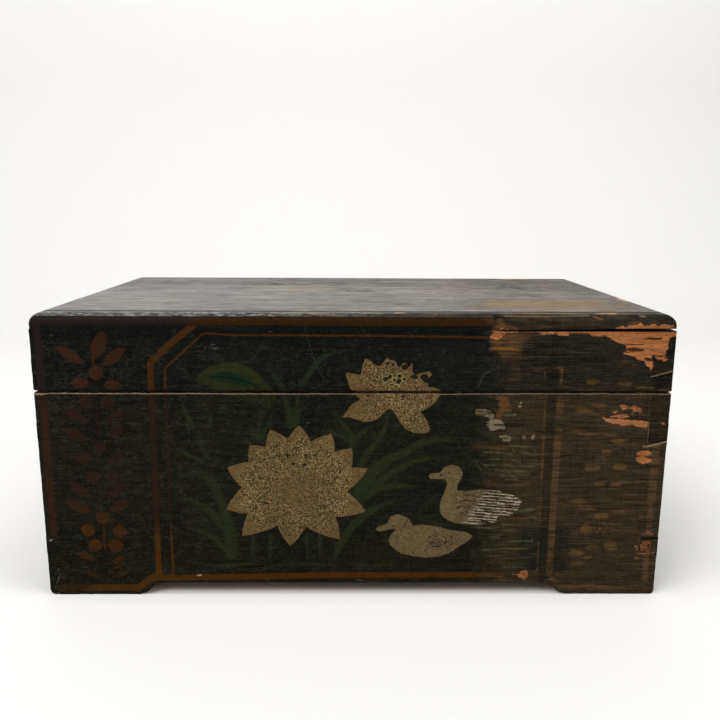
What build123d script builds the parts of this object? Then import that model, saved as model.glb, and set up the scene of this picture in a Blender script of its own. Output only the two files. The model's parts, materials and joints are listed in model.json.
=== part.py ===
from build123d import *
import math
import os

os.makedirs("parts", exist_ok=True)

# A lacquered wooden deed box, 480 x 290 x 225 mm: four boards dovetailed at the corners and
# standing on cut-out feet, a bottom of two planks in a groove, and a lid of four rails under
# a rounded top board, on two butt hinges let into the seam at the back.
# Millimetres, +Z up, the front face towards -Y. The origin is under the middle of the box,
# on the surface that the feet stand on.

# Case
box_width = 480.0  # outside, left to right
box_depth = 290.0  # outside, front to back
board = 15.0  # side boards of the body and rails of the lid
body_height = 166.0  # feet to seam
seam = 0.6  # dark line between the body and the closed lid
rail_height = 46.4
top_board = 12.0
top_round = 6.0  # along the upper edge of the top board
open_joint_length = 137.0  # right end of the front, where the top board has lifted off its rail
open_joint_gap = 1.8  # height of that opening at the right end

# Feet
apron_rise = 10.0  # floor to the edge between two feet
foot_length = 72.0  # flat part of a foot, from the corner of the box
ogee_run = 16.0  # length of the S-curve from a foot up to the apron
toe = 1.0  # upright bit under the curve

# Dovetails: the front and back boards have the tails, the end boards the pins
body_pin = 19.0  # height of a pin at the inside of the end board
lid_pin = 17.0
pin_taper = 3.0  # by which each flank of a pin slopes over the board
lower_pin_inset = 42.5  # feet to the middle of the lower pin
upper_pin_inset = 30.5  # seam to the middle of the upper pin
lid_pin_inset = 18.9  # seam to the middle of the lid's pin

# Bottom
bottom_plank = 9.0
groove_lip = 5.0  # wood between the apron's edge and the groove
groove_depth = 6.0
groove_end_room = 0.5  # lets the planks swell
groove_play = 0.2  # between the planks and the groove's upper face

# Pegs that hold the top board
peg_radius = 2.0
peg_room = 0.03
peg_grip = 22.0  # length in a rail
peg_sink = 0.2  # below the top
peg_margin = 60.0  # corner of the box to the first peg
pegs_wide = 4
pegs_deep = 2

# Hinges
hinge_length = 50.0
hinge_margin = 65.0  # end of the box to the end of a hinge
hinge_inset = 3.0  # axis to back face
barrel_radius = 2.9
barrel_room = 0.3  # barrel to wood and to the other leaf
knuckles = 5
knuckle_gap = 0.2
leaf = 1.2  # thickness
leaf_depth = 10.5  # from the axis inwards
leaf_gap = 0.2  # between the closed leaves
pocket_room = 0.1  # edges of a leaf to wood
hinge_pin = 1.2  # radius
hinge_pin_play = 0.05
pin_head_radius = 2.1
pin_head = 0.8
lid_opening = 105.0  # degrees, where the bevelled back edges meet
opening_margin = 1.0  # degrees left between them

# Hinge nails
nail_radius = 1.0
nail_head_radius = 1.9
nail_length = 11.0
nail_point = 2.0
nail_room = 0.05
nails_per_leaf = 3
nail_spacing = 18.0
nail_inset = 3.8  # inner edge of a leaf to the nails

# Places worked out from the sizes
inside_width = box_width - 2 * board
inside_depth = box_depth - 2 * board
rail_bottom = body_height + seam
rail_top = rail_bottom + rail_height
box_height = rail_top + top_board
bottom_height = apron_rise + groove_lip
body_pins = (lower_pin_inset, body_height - upper_pin_inset)
lid_pins = (rail_bottom + lid_pin_inset,)
axis_y = box_depth / 2 - hinge_inset
axis_z = body_height + seam / 2
seam_plane = Plane.XY.offset(axis_z)
knuckle = (hinge_length - (knuckles - 1) * knuckle_gap) / knuckles
leaf_top = axis_z - leaf_gap / 2
leaf_bottom = leaf_top - leaf
nail_y = axis_y - leaf_depth + nail_inset
right_hinge = box_width / 2 - hinge_margin - hinge_length / 2
left_hinge = -right_hinge


def save(piece, name):
    piece.part.label = name
    export_step(piece.part, f"parts/{name}.step")


def pin_face(side, middle, height, past=0.0):
    # End grain of one pin, seen from the front; past carries its flanks outside the box
    inner = inside_width / 2
    outer = box_width / 2 + past
    half_inner = height / 2
    half_outer = half_inner - pin_taper / board * (outer - inner)
    with BuildSketch(Plane.XZ) as face:
        with BuildLine():
            Polyline(
                (side * inner, middle - half_inner),
                (side * outer, middle - half_outer),
                (side * outer, middle + half_outer),
                (side * inner, middle + half_inner),
                close=True,
            )
        make_face()
    return face.sketch


def apron_face(plane, length):
    # Opening between the feet of a board of this length
    low = length / 2 - foot_length
    bend = low - ogee_run / 2
    high = low - ogee_run
    with BuildSketch(plane) as face:
        with BuildLine():
            Polyline((-low, toe), (-low, -toe), (low, -toe), (low, toe))
            Bezier((low, toe), (bend, toe), (bend, apron_rise), (high, apron_rise))
            Line((high, apron_rise), (-high, apron_rise))
            Bezier((-high, apron_rise), (-bend, apron_rise), (-bend, toe), (-low, toe))
        make_face()
    return face.sketch


def bottom_groove():
    # Room of the bottom in the four boards, stopped short of their outer faces
    with BuildPart() as groove:
        with BuildSketch(Plane.XY.offset(bottom_height)):
            Rectangle(inside_width + 2 * groove_depth, inside_depth + 2 * groove_depth)
        extrude(amount=bottom_plank + groove_play)
    return groove.part


def long_board(side, bottom, height, pins, pin_height):
    # Front (side -1) or back (side 1) board, with the sockets between its tails
    rear_face = inside_depth / 2 if side < 0 else -box_depth / 2
    with BuildPart() as piece:
        with BuildSketch(Plane.XZ.offset(rear_face)):
            with Locations((0, bottom + height / 2)):
                Rectangle(box_width, height)
        extrude(amount=board)
        for middle in pins:
            for end in (-1, 1):
                socket = pin_face(end, middle, pin_height, past=1.0)
                extrude(socket, amount=box_depth, both=True, mode=Mode.SUBTRACT)
    return piece.part


def end_board(side, bottom, height, pins, pin_height):
    # Left (side -1) or right (side 1) board, with its pins at the front and the back
    left_face = inside_width / 2 if side > 0 else -box_width / 2
    with BuildPart() as piece:
        with BuildSketch(Plane.YZ.offset(left_face)):
            with Locations((0, bottom + height / 2)):
                Rectangle(inside_depth, height)
        extrude(amount=board)
        for middle in pins:
            extrude(pin_face(side, middle, pin_height), amount=box_depth / 2, both=True)
    return piece.part


def back_bevel():
    # Wedge off the upper outer edge of the back board; the open lid's own bevel meets it
    slope = math.tan(math.radians((lid_opening + opening_margin) / 2))
    reach = 2 * hinge_inset
    with BuildPart() as wedge:
        with BuildSketch(Plane.YZ.offset(-box_width / 2)):
            with BuildLine():
                Polyline(
                    (axis_y, axis_z),
                    (axis_y + reach, axis_z - reach * slope),
                    (axis_y + reach, axis_z),
                    close=True,
                )
            make_face()
        extrude(amount=box_width)
    return wedge.part


def nail_places():
    first = -(nails_per_leaf - 1) / 2 * nail_spacing
    steps = [first + count * nail_spacing for count in range(nails_per_leaf)]
    return [(hinge_x + step, nail_y) for hinge_x in (left_hinge, right_hinge) for step in steps]


def hinge_seats():
    # Troughs of the barrels, pockets of the body leaves and holes of their nails
    trough_length = hinge_length + 2 * (pin_head + barrel_room)
    pocket_depth = leaf_depth + pocket_room
    with BuildPart() as seats:
        with Locations((left_hinge, axis_y, axis_z), (right_hinge, axis_y, axis_z)):
            Cylinder(barrel_radius + barrel_room, trough_length, rotation=(0, 90, 0))
        with BuildSketch(Plane.XY.offset(leaf_bottom)):
            pocket_y = axis_y - pocket_depth / 2
            with Locations((left_hinge, pocket_y), (right_hinge, pocket_y)):
                Rectangle(hinge_length + 2 * pocket_room, pocket_depth)
        extrude(amount=axis_z - leaf_bottom)
        with BuildSketch(Plane.XY.offset(leaf_bottom)):
            with Locations(nail_places()):
                Circle(nail_radius + nail_room)
        extrude(amount=-nail_length)
    return seats.part


def hinge_leaf(hinge_x, own_knuckles, for_lid=False):
    # One leaf with its knuckles; a lid leaf is the same thing turned over the seam
    step = knuckle + knuckle_gap
    places = [(hinge_x + (count - (knuckles - 1) / 2) * step, axis_y, axis_z) for count in range(knuckles)]
    own = [places[count] for count in own_knuckles]
    other = [place for place in places if place not in own]
    hinge_nails = [(x, y, leaf_top) for x, y in nail_places() if abs(x - hinge_x) < hinge_length / 2]
    with BuildPart() as piece:
        with BuildSketch(Plane.XY.offset(leaf_bottom)):
            with Locations((hinge_x, axis_y - leaf_depth / 2)):
                Rectangle(hinge_length, leaf_depth)
        extrude(amount=leaf)
        with Locations(other):
            reach = knuckle + 2 * knuckle_gap
            Cylinder(barrel_radius + barrel_room, reach, rotation=(0, 90, 0), mode=Mode.SUBTRACT)
        with Locations(own):
            Cylinder(barrel_radius, knuckle, rotation=(0, 90, 0))
        with Locations((hinge_x, axis_y, axis_z)):
            bore = hinge_pin + hinge_pin_play
            Cylinder(bore, 2 * hinge_length, rotation=(0, 90, 0), mode=Mode.SUBTRACT)
        with Locations(hinge_nails):
            CounterSinkHole(nail_radius + nail_room, nail_head_radius + nail_room, depth=2 * leaf)
        if for_lid:
            mirror(about=seam_plane, mode=Mode.REPLACE)
    return piece


def hinge_pin_at(hinge_x):
    head_step = (hinge_length + pin_head) / 2
    with BuildPart() as piece:
        with Locations((hinge_x, axis_y, axis_z)):
            Cylinder(hinge_pin, hinge_length + 2 * pin_head, rotation=(0, 90, 0))
        with Locations((hinge_x - head_step, axis_y, axis_z), (hinge_x + head_step, axis_y, axis_z)):
            Cylinder(pin_head_radius, pin_head, rotation=(0, 90, 0))
    return piece


def nail_set(for_lid=False):
    # The nails of both body leaves, or turned over the seam those of both lid leaves
    head = nail_head_radius - nail_radius
    top = leaf_top - nail_room
    with BuildPart() as nails:
        for nail_x, nail_at_y in nail_places():
            with BuildSketch(Plane.XZ.offset(-nail_at_y)):
                with BuildLine():
                    Polyline(
                        (nail_x, top),
                        (nail_x + nail_head_radius, top),
                        (nail_x + nail_radius, top - head),
                        (nail_x + nail_radius, leaf_top - nail_length + nail_point),
                        (nail_x, leaf_top - nail_length),
                        close=True,
                    )
                make_face()
            revolve(axis=Axis((nail_x, nail_at_y, 0), (0, 0, 1)))
        if for_lid:
            mirror(about=seam_plane, mode=Mode.REPLACE)
    return nails


def peg_places():
    wide_step = (box_width - 2 * peg_margin) / (pegs_wide - 1)
    deep_step = (box_depth - 2 * peg_margin) / (pegs_deep - 1)
    front_and_back = GridLocations(wide_step, box_depth - board, pegs_wide, 2)
    ends = GridLocations(box_width - board, deep_step, 2, pegs_deep)
    return [*front_and_back.locations, *ends.locations]


def pegs(radius, top):
    # The pegs, or with their room in radius the holes that they are driven into
    with BuildPart() as set_of_pegs:
        with BuildSketch(Plane.XY.offset(rail_top - peg_grip)):
            with Locations(peg_places()):
                Circle(radius)
        extrude(amount=top - rail_top + peg_grip)
    return set_of_pegs


peg_holes = pegs(peg_radius + peg_room, box_height).part

# Body

with BuildPart() as front_board:
    add(long_board(-1, 0, body_height, body_pins, body_pin))
    extrude(apron_face(Plane.XZ, box_width), amount=box_depth, both=True, mode=Mode.SUBTRACT)
    add(bottom_groove(), mode=Mode.SUBTRACT)
save(front_board, "front_board")

with BuildPart() as back_board:
    add(long_board(1, 0, body_height, body_pins, body_pin))
    extrude(apron_face(Plane.XZ, box_width), amount=box_depth, both=True, mode=Mode.SUBTRACT)
    add(bottom_groove(), mode=Mode.SUBTRACT)
    add(back_bevel(), mode=Mode.SUBTRACT)
    add(hinge_seats(), mode=Mode.SUBTRACT)
save(back_board, "back_board")

for side, name in ((-1, "left_end_board"), (1, "right_end_board")):
    with BuildPart() as body_end:
        add(end_board(side, 0, body_height, body_pins, body_pin))
        extrude(apron_face(Plane.YZ, box_depth), amount=box_width, both=True, mode=Mode.SUBTRACT)
        add(bottom_groove(), mode=Mode.SUBTRACT)
    save(body_end, name)

for side, name in ((-1, "front_bottom_plank"), (1, "rear_bottom_plank")):
    plank_width = inside_width + 2 * (groove_depth - groove_end_room)
    plank_depth = inside_depth / 2 + groove_depth - groove_end_room
    with BuildPart() as plank:
        with BuildSketch(Plane.XY.offset(bottom_height)):
            with Locations((0, side * plank_depth / 2)):
                Rectangle(plank_width, plank_depth)
        extrude(amount=bottom_plank)
    save(plank, name)

# Lid

with BuildPart() as lid_front_rail:
    add(long_board(-1, rail_bottom, rail_height, lid_pins, lid_pin))
    add(peg_holes, mode=Mode.SUBTRACT)
save(lid_front_rail, "lid_front_rail")

with BuildPart() as lid_back_rail:
    add(long_board(1, rail_bottom, rail_height, lid_pins, lid_pin))
    add(back_bevel().mirror(seam_plane), mode=Mode.SUBTRACT)
    add(hinge_seats().mirror(seam_plane), mode=Mode.SUBTRACT)
    add(peg_holes, mode=Mode.SUBTRACT)
save(lid_back_rail, "lid_back_rail")

for side, name in ((-1, "lid_left_rail"), (1, "lid_right_rail")):
    with BuildPart() as lid_end:
        add(end_board(side, rail_bottom, rail_height, lid_pins, lid_pin))
        add(peg_holes, mode=Mode.SUBTRACT)
    save(lid_end, name)

with BuildPart() as lid_top_board:
    with BuildSketch(Plane.XY.offset(rail_top)):
        Rectangle(box_width, box_depth)
    extrude(amount=top_board)
    fillet(lid_top_board.faces().sort_by(Axis.Z)[-1].edges(), top_round)
    with BuildSketch(Plane.XZ.offset(inside_depth / 2)):
        start = box_width / 2 - open_joint_length
        past_end = box_width / 2 + 1
        rise = open_joint_gap * (past_end - start) / open_joint_length
        with BuildLine():
            Polyline((start, rail_top), (past_end, rail_top), (past_end, rail_top + rise), close=True)
        make_face()
    extrude(amount=board + 1, mode=Mode.SUBTRACT)
    add(peg_holes, mode=Mode.SUBTRACT)
save(lid_top_board, "lid_top_board")

lid_pegs = pegs(peg_radius, box_height - peg_sink)
save(lid_pegs, "lid_pegs")

# Hinges

for hinge_x, name in ((left_hinge, "left"), (right_hinge, "right")):
    save(hinge_leaf(hinge_x, range(0, knuckles, 2)), f"{name}_hinge_body_leaf")
    save(hinge_leaf(hinge_x, range(1, knuckles, 2), for_lid=True), f"{name}_hinge_lid_leaf")
    save(hinge_pin_at(hinge_x), f"{name}_hinge_pin")
save(nail_set(), "body_hinge_nails")
save(nail_set(for_lid=True), "lid_hinge_nails")

print("box", box_width, box_depth, round(box_height, 2), "mm; hinge axis", axis_y, round(axis_z, 2))
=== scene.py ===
import json
import math
import bmesh
import bpy
import numpy as np
from mathutils import Matrix, Vector, noise


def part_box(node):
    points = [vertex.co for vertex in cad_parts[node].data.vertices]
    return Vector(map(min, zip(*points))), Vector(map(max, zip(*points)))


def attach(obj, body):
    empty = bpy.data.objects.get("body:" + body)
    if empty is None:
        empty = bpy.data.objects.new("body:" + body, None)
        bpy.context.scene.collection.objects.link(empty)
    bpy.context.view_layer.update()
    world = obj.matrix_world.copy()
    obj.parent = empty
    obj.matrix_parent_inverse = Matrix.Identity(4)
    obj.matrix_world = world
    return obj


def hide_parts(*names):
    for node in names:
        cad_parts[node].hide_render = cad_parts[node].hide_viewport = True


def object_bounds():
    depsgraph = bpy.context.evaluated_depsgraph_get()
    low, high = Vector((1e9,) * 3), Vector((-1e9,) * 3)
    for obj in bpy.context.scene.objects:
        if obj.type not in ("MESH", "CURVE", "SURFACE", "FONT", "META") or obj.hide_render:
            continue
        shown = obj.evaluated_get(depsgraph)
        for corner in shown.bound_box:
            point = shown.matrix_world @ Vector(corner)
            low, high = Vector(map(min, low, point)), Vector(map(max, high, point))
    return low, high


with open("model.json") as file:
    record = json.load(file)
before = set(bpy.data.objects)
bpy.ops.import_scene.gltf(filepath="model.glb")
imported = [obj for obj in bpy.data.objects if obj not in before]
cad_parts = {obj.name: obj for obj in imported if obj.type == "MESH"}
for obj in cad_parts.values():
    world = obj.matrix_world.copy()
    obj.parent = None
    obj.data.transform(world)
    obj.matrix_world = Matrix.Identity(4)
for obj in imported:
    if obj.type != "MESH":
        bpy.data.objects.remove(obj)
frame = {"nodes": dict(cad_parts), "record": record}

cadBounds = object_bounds()
mm = 0.001
boxLow, boxHigh = cadBounds
seamZ = (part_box("front_board")[1].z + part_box("lid_front_rail")[0].z) / 2
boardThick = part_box("front_board")[1].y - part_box("front_board")[0].y

# Pins of the end boards as they show on the front, in metres: middle and height of each
dovetails = {
    "bodyPins": ((0.0425, 0.019), (0.1355, 0.019)),
    "lidPins": ((0.1855, 0.017),),
    "taper": 0.003,  # slope of each flank over the thickness of the board
}
shoulderX = boxHigh.x - boardThick

print("frame loaded")


# Brushwork: signed distances in mm on the front face, below 0 inside the paint
farAway = 60.0  # stands for every greater distance
reachRound = 12  # further than this from a part its distance isn't worked out


def pairs(numbers):
    return np.reshape(np.array(numbers, float), (-1, 2))


def nearPart(x, z, points):
    lowX, lowZ = np.min(points, axis=0) - reachRound
    highX, highZ = np.max(points, axis=0) + reachRound
    return (x > lowX) & (x < highX) & (z > lowZ) & (z < highZ)


def gapToRun(x, z, start, end):
    # Distance to a straight run, and the share of it at the nearest point
    run = end - start
    share = np.clip(((x - start[0]) * run[0] + (z - start[1]) * run[1]) / (run @ run), 0, 1)
    return np.hypot(x - start[0] - share * run[0], z - start[1] - share * run[1]), share


def bandField(x, z, knots, halves):
    # Band along straight runs, with its half width at each knot
    halves = np.broadcast_to(halves, len(knots))
    field = np.full(x.shape, farAway)
    near = nearPart(x, z, knots)
    best = np.full(near.sum(), farAway)
    for start, end, halfStart, halfEnd in zip(knots, knots[1:], halves, halves[1:]):
        gap, share = gapToRun(x[near], z[near], start, end)
        best = np.minimum(best, gap - halfStart - share * (halfEnd - halfStart))
    field[near] = best
    return field


def runField(x, z, part):
    return bandField(x, z, pairs(part[1:]), part[0])


def strokeField(x, z, part, steps=5):
    # Brush stroke bent smoothly through its points; the half widths are spread evenly along it
    halves = np.atleast_1d(part[0])
    knots = pairs(part[1:])
    knots = np.vstack((2 * knots[0] - knots[1], knots, 2 * knots[-1] - knots[-2]))
    t = np.linspace(0, 1, steps, endpoint=False)[:, None]
    bends = []
    for before, start, end, after in zip(knots, knots[1:], knots[2:], knots[3:]):
        bends.append(start + (end - before) * t / 2 + (before - 2.5 * start + 2 * end - after / 2) * t ** 2
                     + (1.5 * (start - end) + (after - before) / 2) * t ** 3)
    line = np.vstack(bends + [knots[-2:-1]])
    widths = np.interp(np.linspace(0, 1, len(line)), np.linspace(0, 1, len(halves)), halves)
    return bandField(x, z, line, widths)


def areaField(x, z, outline):
    # Closed outline
    corners = pairs(outline)
    field = np.full(x.shape, farAway)
    near = nearPart(x, z, corners)
    nearX, nearZ = x[near], z[near]
    gaps = np.full(nearX.shape, farAway)
    inside = np.zeros(nearX.shape, bool)
    for start, end in zip(corners, np.roll(corners, -1, axis=0)):
        gaps = np.minimum(gaps, gapToRun(nearX, nearZ, start, end)[0])
        turn = (nearX - start[0]) * (end[1] - start[1]) - (nearZ - start[1]) * (end[0] - start[0])
        crossed = (start[1] > nearZ) != (end[1] > nearZ)
        inside ^= crossed & ((turn < 0) == (end[1] > start[1]))
    field[near] = np.where(inside, -gaps, gaps)
    return field


def leafField(x, z, part):
    # Pointed oval from base to tip
    width, base, tip = part[0], np.array(part[1:3], float), np.array(part[3:5], float)
    half = np.hypot(*(tip - base)) / 2
    along = (tip - base) / (2 * half)
    middleX, middleZ = (base + tip) / 2
    u = np.abs((x - middleX) * along[0] + (z - middleZ) * along[1])
    v = np.abs((z - middleZ) * along[0] - (x - middleX) * along[1])
    belly = min(width / 2, half * 0.98)
    radius = (half * half + belly * belly) / (2 * belly)
    offset = radius - belly
    beyondTip = (u - half) * offset > v * half
    return np.where(beyondTip, np.hypot(v, u - half), np.hypot(v + offset, u) - radius)


def ovalField(x, z, part):
    middleX, middleZ, across, up = part
    return (np.hypot((x - middleX) / across, (z - middleZ) / up) - 1) * min(across, up)


def remainField(x, z, part):
    # Long wide remains keep the pointed shape of a leaf, the others are short strokes
    half, start, end = part[0], np.array(part[1:3], float), np.array(part[3:5], float)
    length = np.hypot(*(end - start))
    if length < 3 * half or half < 1.2:
        return runField(x, z, part)
    reach = (end - start) * half * 1.3 / length
    return leafField(x, z, (half * 2.6, *(start - reach), *(end + reach)))


petalSwell = 0.05  # share of each petal's side by which it swells


def blossomField(x, z, outline):
    # Each side of a petal swells away from the middle of the blossom
    corners = pairs(outline)
    heart = corners.mean(0)
    swollen = []
    for start, end in zip(corners, np.roll(corners, -1, axis=0)):
        across = np.array((end[1] - start[1], start[0] - end[0]))
        across *= np.sign(across @ ((start + end) / 2 - heart)) * petalSwell
        for share in (0, 0.3, 0.6, 0.85):
            swollen.append(start + (end - start) * share + across * 4 * share * (1 - share))
    return areaField(x, z, swollen)


# Every part is numbers in mm from the middle of the box and from the floor, x and z by turns.
# Runs and strokes: half width, then the points; a stroke bends, and may have several half widths.
# Remains: half width, start and end. Leaves: width, base and tip. Ovals: middle, half across, half up.
# Areas and blossoms: the closed outline.
motifs = {}

# Line border of the front and its corner panels
motifs["border"] = dict(runs=(
    (2.5, -152, 188, -140, 199.4, -117, 218), (2.3, -152, 188, -152.4, 130, -153.3, 60, -153.6, 17),
    (2.4, -156, 14.4, -140, 14.2, -60, 15.8, -20, 16.6, 95, 16.6), (1.6, 95, 16.6, 118, 16.2),
    (2.8, -153.6, 17, -157, 16, -170, 5.8, -208, 5.8, -232, 5.6), (2.9, -233.7, 216, -233.7, 52),
    (2.8, 155.8, 158, 155.8, 151), (2.6, 155.8, 136, 155.6, 20), (3.2, 232, 124, 232, 78),
    (2.2, 232, 72, 232, 6), (2, 157, 14, 164, 8, 172, 5.8, 229, 5.6),
    (2.8, -238, 219.4, -117, 219.4, 101, 219.3), (1.1, 155.8, 184, 155.8, 173),
    (0.8, -142.5, 16, -142, 120, -141.5, 183.5, -112.4, 209.8, -109, 210.5, -90, 209.2, 10, 209, 99, 208),
    (0.7, 144.5, 160, 144.8, 136), (0.8, 144.8, 132, 145.3, 97), (0.8, 145.3, 85, 145.5, 66),
    (0.7, 145.6, 44, 145.8, 20),
))

# Climbing spray in the left panel, and what is left of it in the right one
motifs["spray"] = dict(leaves=(
    (8, -200.5, 187, -221.4, 200.7), (11, -193.5, 191, -184.7, 211.6), (8.5, -187.7, 185.7, -169.5, 199.4),
    (8.5, -201.4, 139.8, -218.2, 154.4), (8.5, -189, 140.3, -171.8, 153.5),
    (9, -202.7, 128.5, -222.3, 136.2), (7.5, -187.4, 131, -173.6, 138.5), (8.5, -203.6, 81.8, -219.1, 95),
    (8, -190.9, 81.8, -175.4, 92.7), (8, -203.2, 70, -222.3, 78.6), (8, -189, 70.9, -173.5, 79.1),
    (6, -204.1, 30.9, -217.3, 35.5), (4.5, -190, 27.3, -180, 32.7), (3.5, -190, 21.8, -180.9, 27.3),
    (4.5, -190.5, 14.5, -175, 21.8), (3.6, -200, 15.5, -211.8, 19.1),
), ovals=(
    (-192.7, 180.3, 5.6, 5.6), (-205, 172.5, 6.6, 4.3), (-181, 170.7, 6.2, 4), (-201.4, 158, 5.3, 5.3),
    (-185.5, 157.5, 5.4, 5.4), (-193.2, 122.5, 4.8, 4.8), (-206.8, 113.7, 6.3, 5), (-181, 113, 5.8, 4.8),
    (-200.9, 98.6, 6, 4.7), (-185.5, 98.6, 5.6, 4.6), (-207.1, 54.7, 5.2, 5.2), (-182.5, 53.6, 5.4, 5.4),
    (-202.3, 41.8, 5.2, 5.2), (-186.2, 41.4, 5.6, 5.6),
), areas=(
    (-200.5, 69.6, -189.5, 69.6, -189.8, 64, -192.4, 60.4, -195, 59.5, -197.6, 60.4, -200.2, 64),
), runs=(
    (0.7, -194.5, 191.6, -194.5, 185), (0.7, -193.6, 152, -193.6, 126), (0.7, -195.5, 90, -195.5, 70),
    (0.7, -194.6, 58, -194.6, 38),
), remains=(
    (1.6, 176, 174, 184, 174.4), (1.5, 199.5, 173, 208.5, 173), (0.7, 213, 170, 226.5, 170),
    (1, 230, 168, 239, 168), (2.2, 182, 156.7, 189.5, 156.7), (1.8, 168.7, 153.2, 179, 151.3),
    (1.8, 168, 135.5, 181.8, 132.8), (0.9, 192, 132.5, 200, 132.5), (1.3, 198, 127.8, 206, 127.8),
    (2.4, 192, 118.6, 195.5, 118.6), (2.8, 180.5, 106.3, 187, 106.3), (2.5, 202.5, 107, 208, 107),
    (1.3, 187.5, 93.2, 193, 93.2), (1.7, 200.5, 92.5, 205.5, 92.5), (1.8, 170, 78.5, 180, 78.5),
    (0.8, 175, 75, 188, 74.6), (0.8, 175, 72.5, 188, 72), (2.6, 191, 66.5, 197, 66.5),
    (0.9, 202, 70.5, 211, 70.5), (4.6, 182.4, 55.2, 182.6, 55.2), (0.7, 188.5, 57, 191, 52.6),
    (0.7, 191, 52.6, 193.6, 56.8), (0.7, 193.6, 56.8, 196, 52.8), (0.7, 196, 52.8, 199, 57),
    (0.6, 200, 54, 210, 54.6), (3.6, 201, 41, 204.5, 41), (2.1, 184.5, 39.8, 192, 39.8),
    (2, 171.5, 34.8, 180.5, 34.8), (1.4, 183, 32, 187.5, 32), (1.2, 173.5, 26.3, 181.5, 26.3),
))

# Blossoms and birds; the last areas are the remains of a third bird near the rubbed side
motifs["cream"] = dict(blossoms=(
    (-41.6, 139.8, -32.8, 126.6, -17.1, 133.5, -14.8, 118.5, -1.6, 121.6, -1.9, 106, 11.1, 105.3, -5.5, 86.6,
     9.3, 70.3, -14.2, 65.7, -11, 46.9, -37.2, 57.5, -49.9, 41.6, -59.6, 58.5, -87.4, 49.8, -82.2, 68.6,
     -98.9, 72.1, -86.5, 89.8, -97.4, 106, -80.5, 110.3, -79.8, 124.2, -67.4, 122.1, -63.7, 136.6,
     -50.5, 128.9),
), areas=(
    (-6.5, 179.8, -4.8, 180.9, 0.2, 180, 4.9, 178.8, 5.2, 181.5, 6.2, 186.8, 8.3, 191.8, 10.5, 190.9,
     13.9, 188.8, 14.9, 187.1, 19.5, 185.8, 20.5, 187.8, 22.5, 190, 24.8, 193, 26.4, 190.5, 29.5, 190.5,
     31.2, 189.1, 32.5, 186.1, 34.2, 185.1, 36, 188.4, 38.8, 188, 41.2, 185, 43.3, 189.5, 43.8, 181,
     46.2, 179.1, 50.2, 180.8, 56.5, 182, 58.5, 179.8, 55.8, 176.8, 51, 175.5, 52.5, 173.5, 56.2, 172.5,
     55.2, 169.9, 60.5, 169.7, 66.6, 166.6, 64.9, 163.8, 61.9, 158.8, 57.9, 155.1, 53.2, 152.5, 49.5, 150.5,
     51.9, 148.8, 55.2, 144.1, 57.7, 138.1, 57.5, 135, 54, 133.6, 49.9, 133.6, 44.5, 134.5, 39.9, 136.8,
     36.5, 140.1, 33.2, 145.5, 29.9, 150.8, 26.9, 153.1, 23.2, 150.8, 19.9, 146.8, 15.9, 144.1, 11.2, 142.5,
     7.2, 142.8, 1.9, 144.5, -3.5, 146.3, -8.8, 146.3, -5.5, 151.1, -2.1, 156.1, 1.9, 158.8, 4.7, 160.2,
     0.5, 164.5, -1.1, 166.8, -3.5, 169.5, -4.5, 173.5),
    (17, 55.8, 19.4, 57.8, 23.5, 59.2, 26.4, 60.4, 28.5, 65.8, 33.9, 68, 38, 67, 43, 64.2, 45, 60.4,
     46.5, 58.6, 50.7, 59, 58, 59, 66.2, 57.6, 73.5, 55.3, 80.7, 54, 87.1, 53.5, 90.3, 52, 93.5, 49.5,
     89.8, 45.6, 85.3, 42.6, 79.8, 38.5, 74.4, 34.9, 67.1, 32.4, 57.1, 31.4, 46.2, 33, 38, 34.9, 32.5, 38.5,
     28.9, 42.2, 27.4, 45.8, 28.3, 49.5, 30.8, 53.1, 33.4, 55.9, 29.8, 55.6, 26.2, 55, 22.5, 53.6, 18.5, 54),
    (57.6, 99.6, 59.8, 101.6, 66.2, 102.1, 67.6, 103.6, 69.8, 106.6, 74.4, 108.4, 79.8, 107.7, 83.2, 104.7,
     83.9, 100.4, 82.4, 96.3, 80.9, 94, 80, 91.3, 79.8, 87.9, 85.3, 87, 89.8, 87.5, 97.1, 88.4, 104.4, 87.8,
     111.6, 87.5, 117.1, 85.4, 122.5, 84.7, 126.2, 82.2, 131.4, 79, 128.9, 75.8, 128.5, 72.2, 124.4, 69.5,
     121.6, 66.3, 112, 66, 111.6, 61.3, 99.8, 59.5, 87.1, 59, 85.3, 59.7, 78.9, 60.8, 73.5, 63.1, 69.8, 65.8,
     67.3, 70.4, 66.9, 75.8, 67.8, 80.4, 70, 84.9, 71.3, 89, 72.2, 93.1, 71.2, 95.8, 69.6, 97, 64.4, 96.9,
     59, 97),
    (92, 153, 98, 152.8, 103, 151.5, 105.5, 149.5, 106.3, 147.5, 105, 145.7, 102, 146.3, 98, 147.3,
     92, 148.4),
    (102, 145, 107, 145.5, 111.5, 144.3, 114, 141.5, 115.4, 138, 114.5, 137, 111, 137.4, 106, 135.9,
     102.5, 136.1, 104.5, 137.7, 100.5, 138.5, 104, 139.8, 99.8, 140.5, 103.5, 141.6, 99.5, 142.7,
     104, 143.5),
    (110, 131.6, 113, 132.3, 117, 132.6, 119.7, 131.6, 120.3, 128, 119, 126.8, 116, 126.9, 113.3, 128,
     114, 129.5), (126, 159.6, 127.3, 158, 126.5, 156, 127.2, 154.6, 125.3, 153.5, 123.8, 155, 124.8, 157),
    (128.6, 132.3, 130.6, 132, 131.8, 128.6, 130.2, 128, 128.6, 130),
    (137.8, 133.8, 138.6, 132.6, 136.6, 128, 135, 130.4),
))

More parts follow.
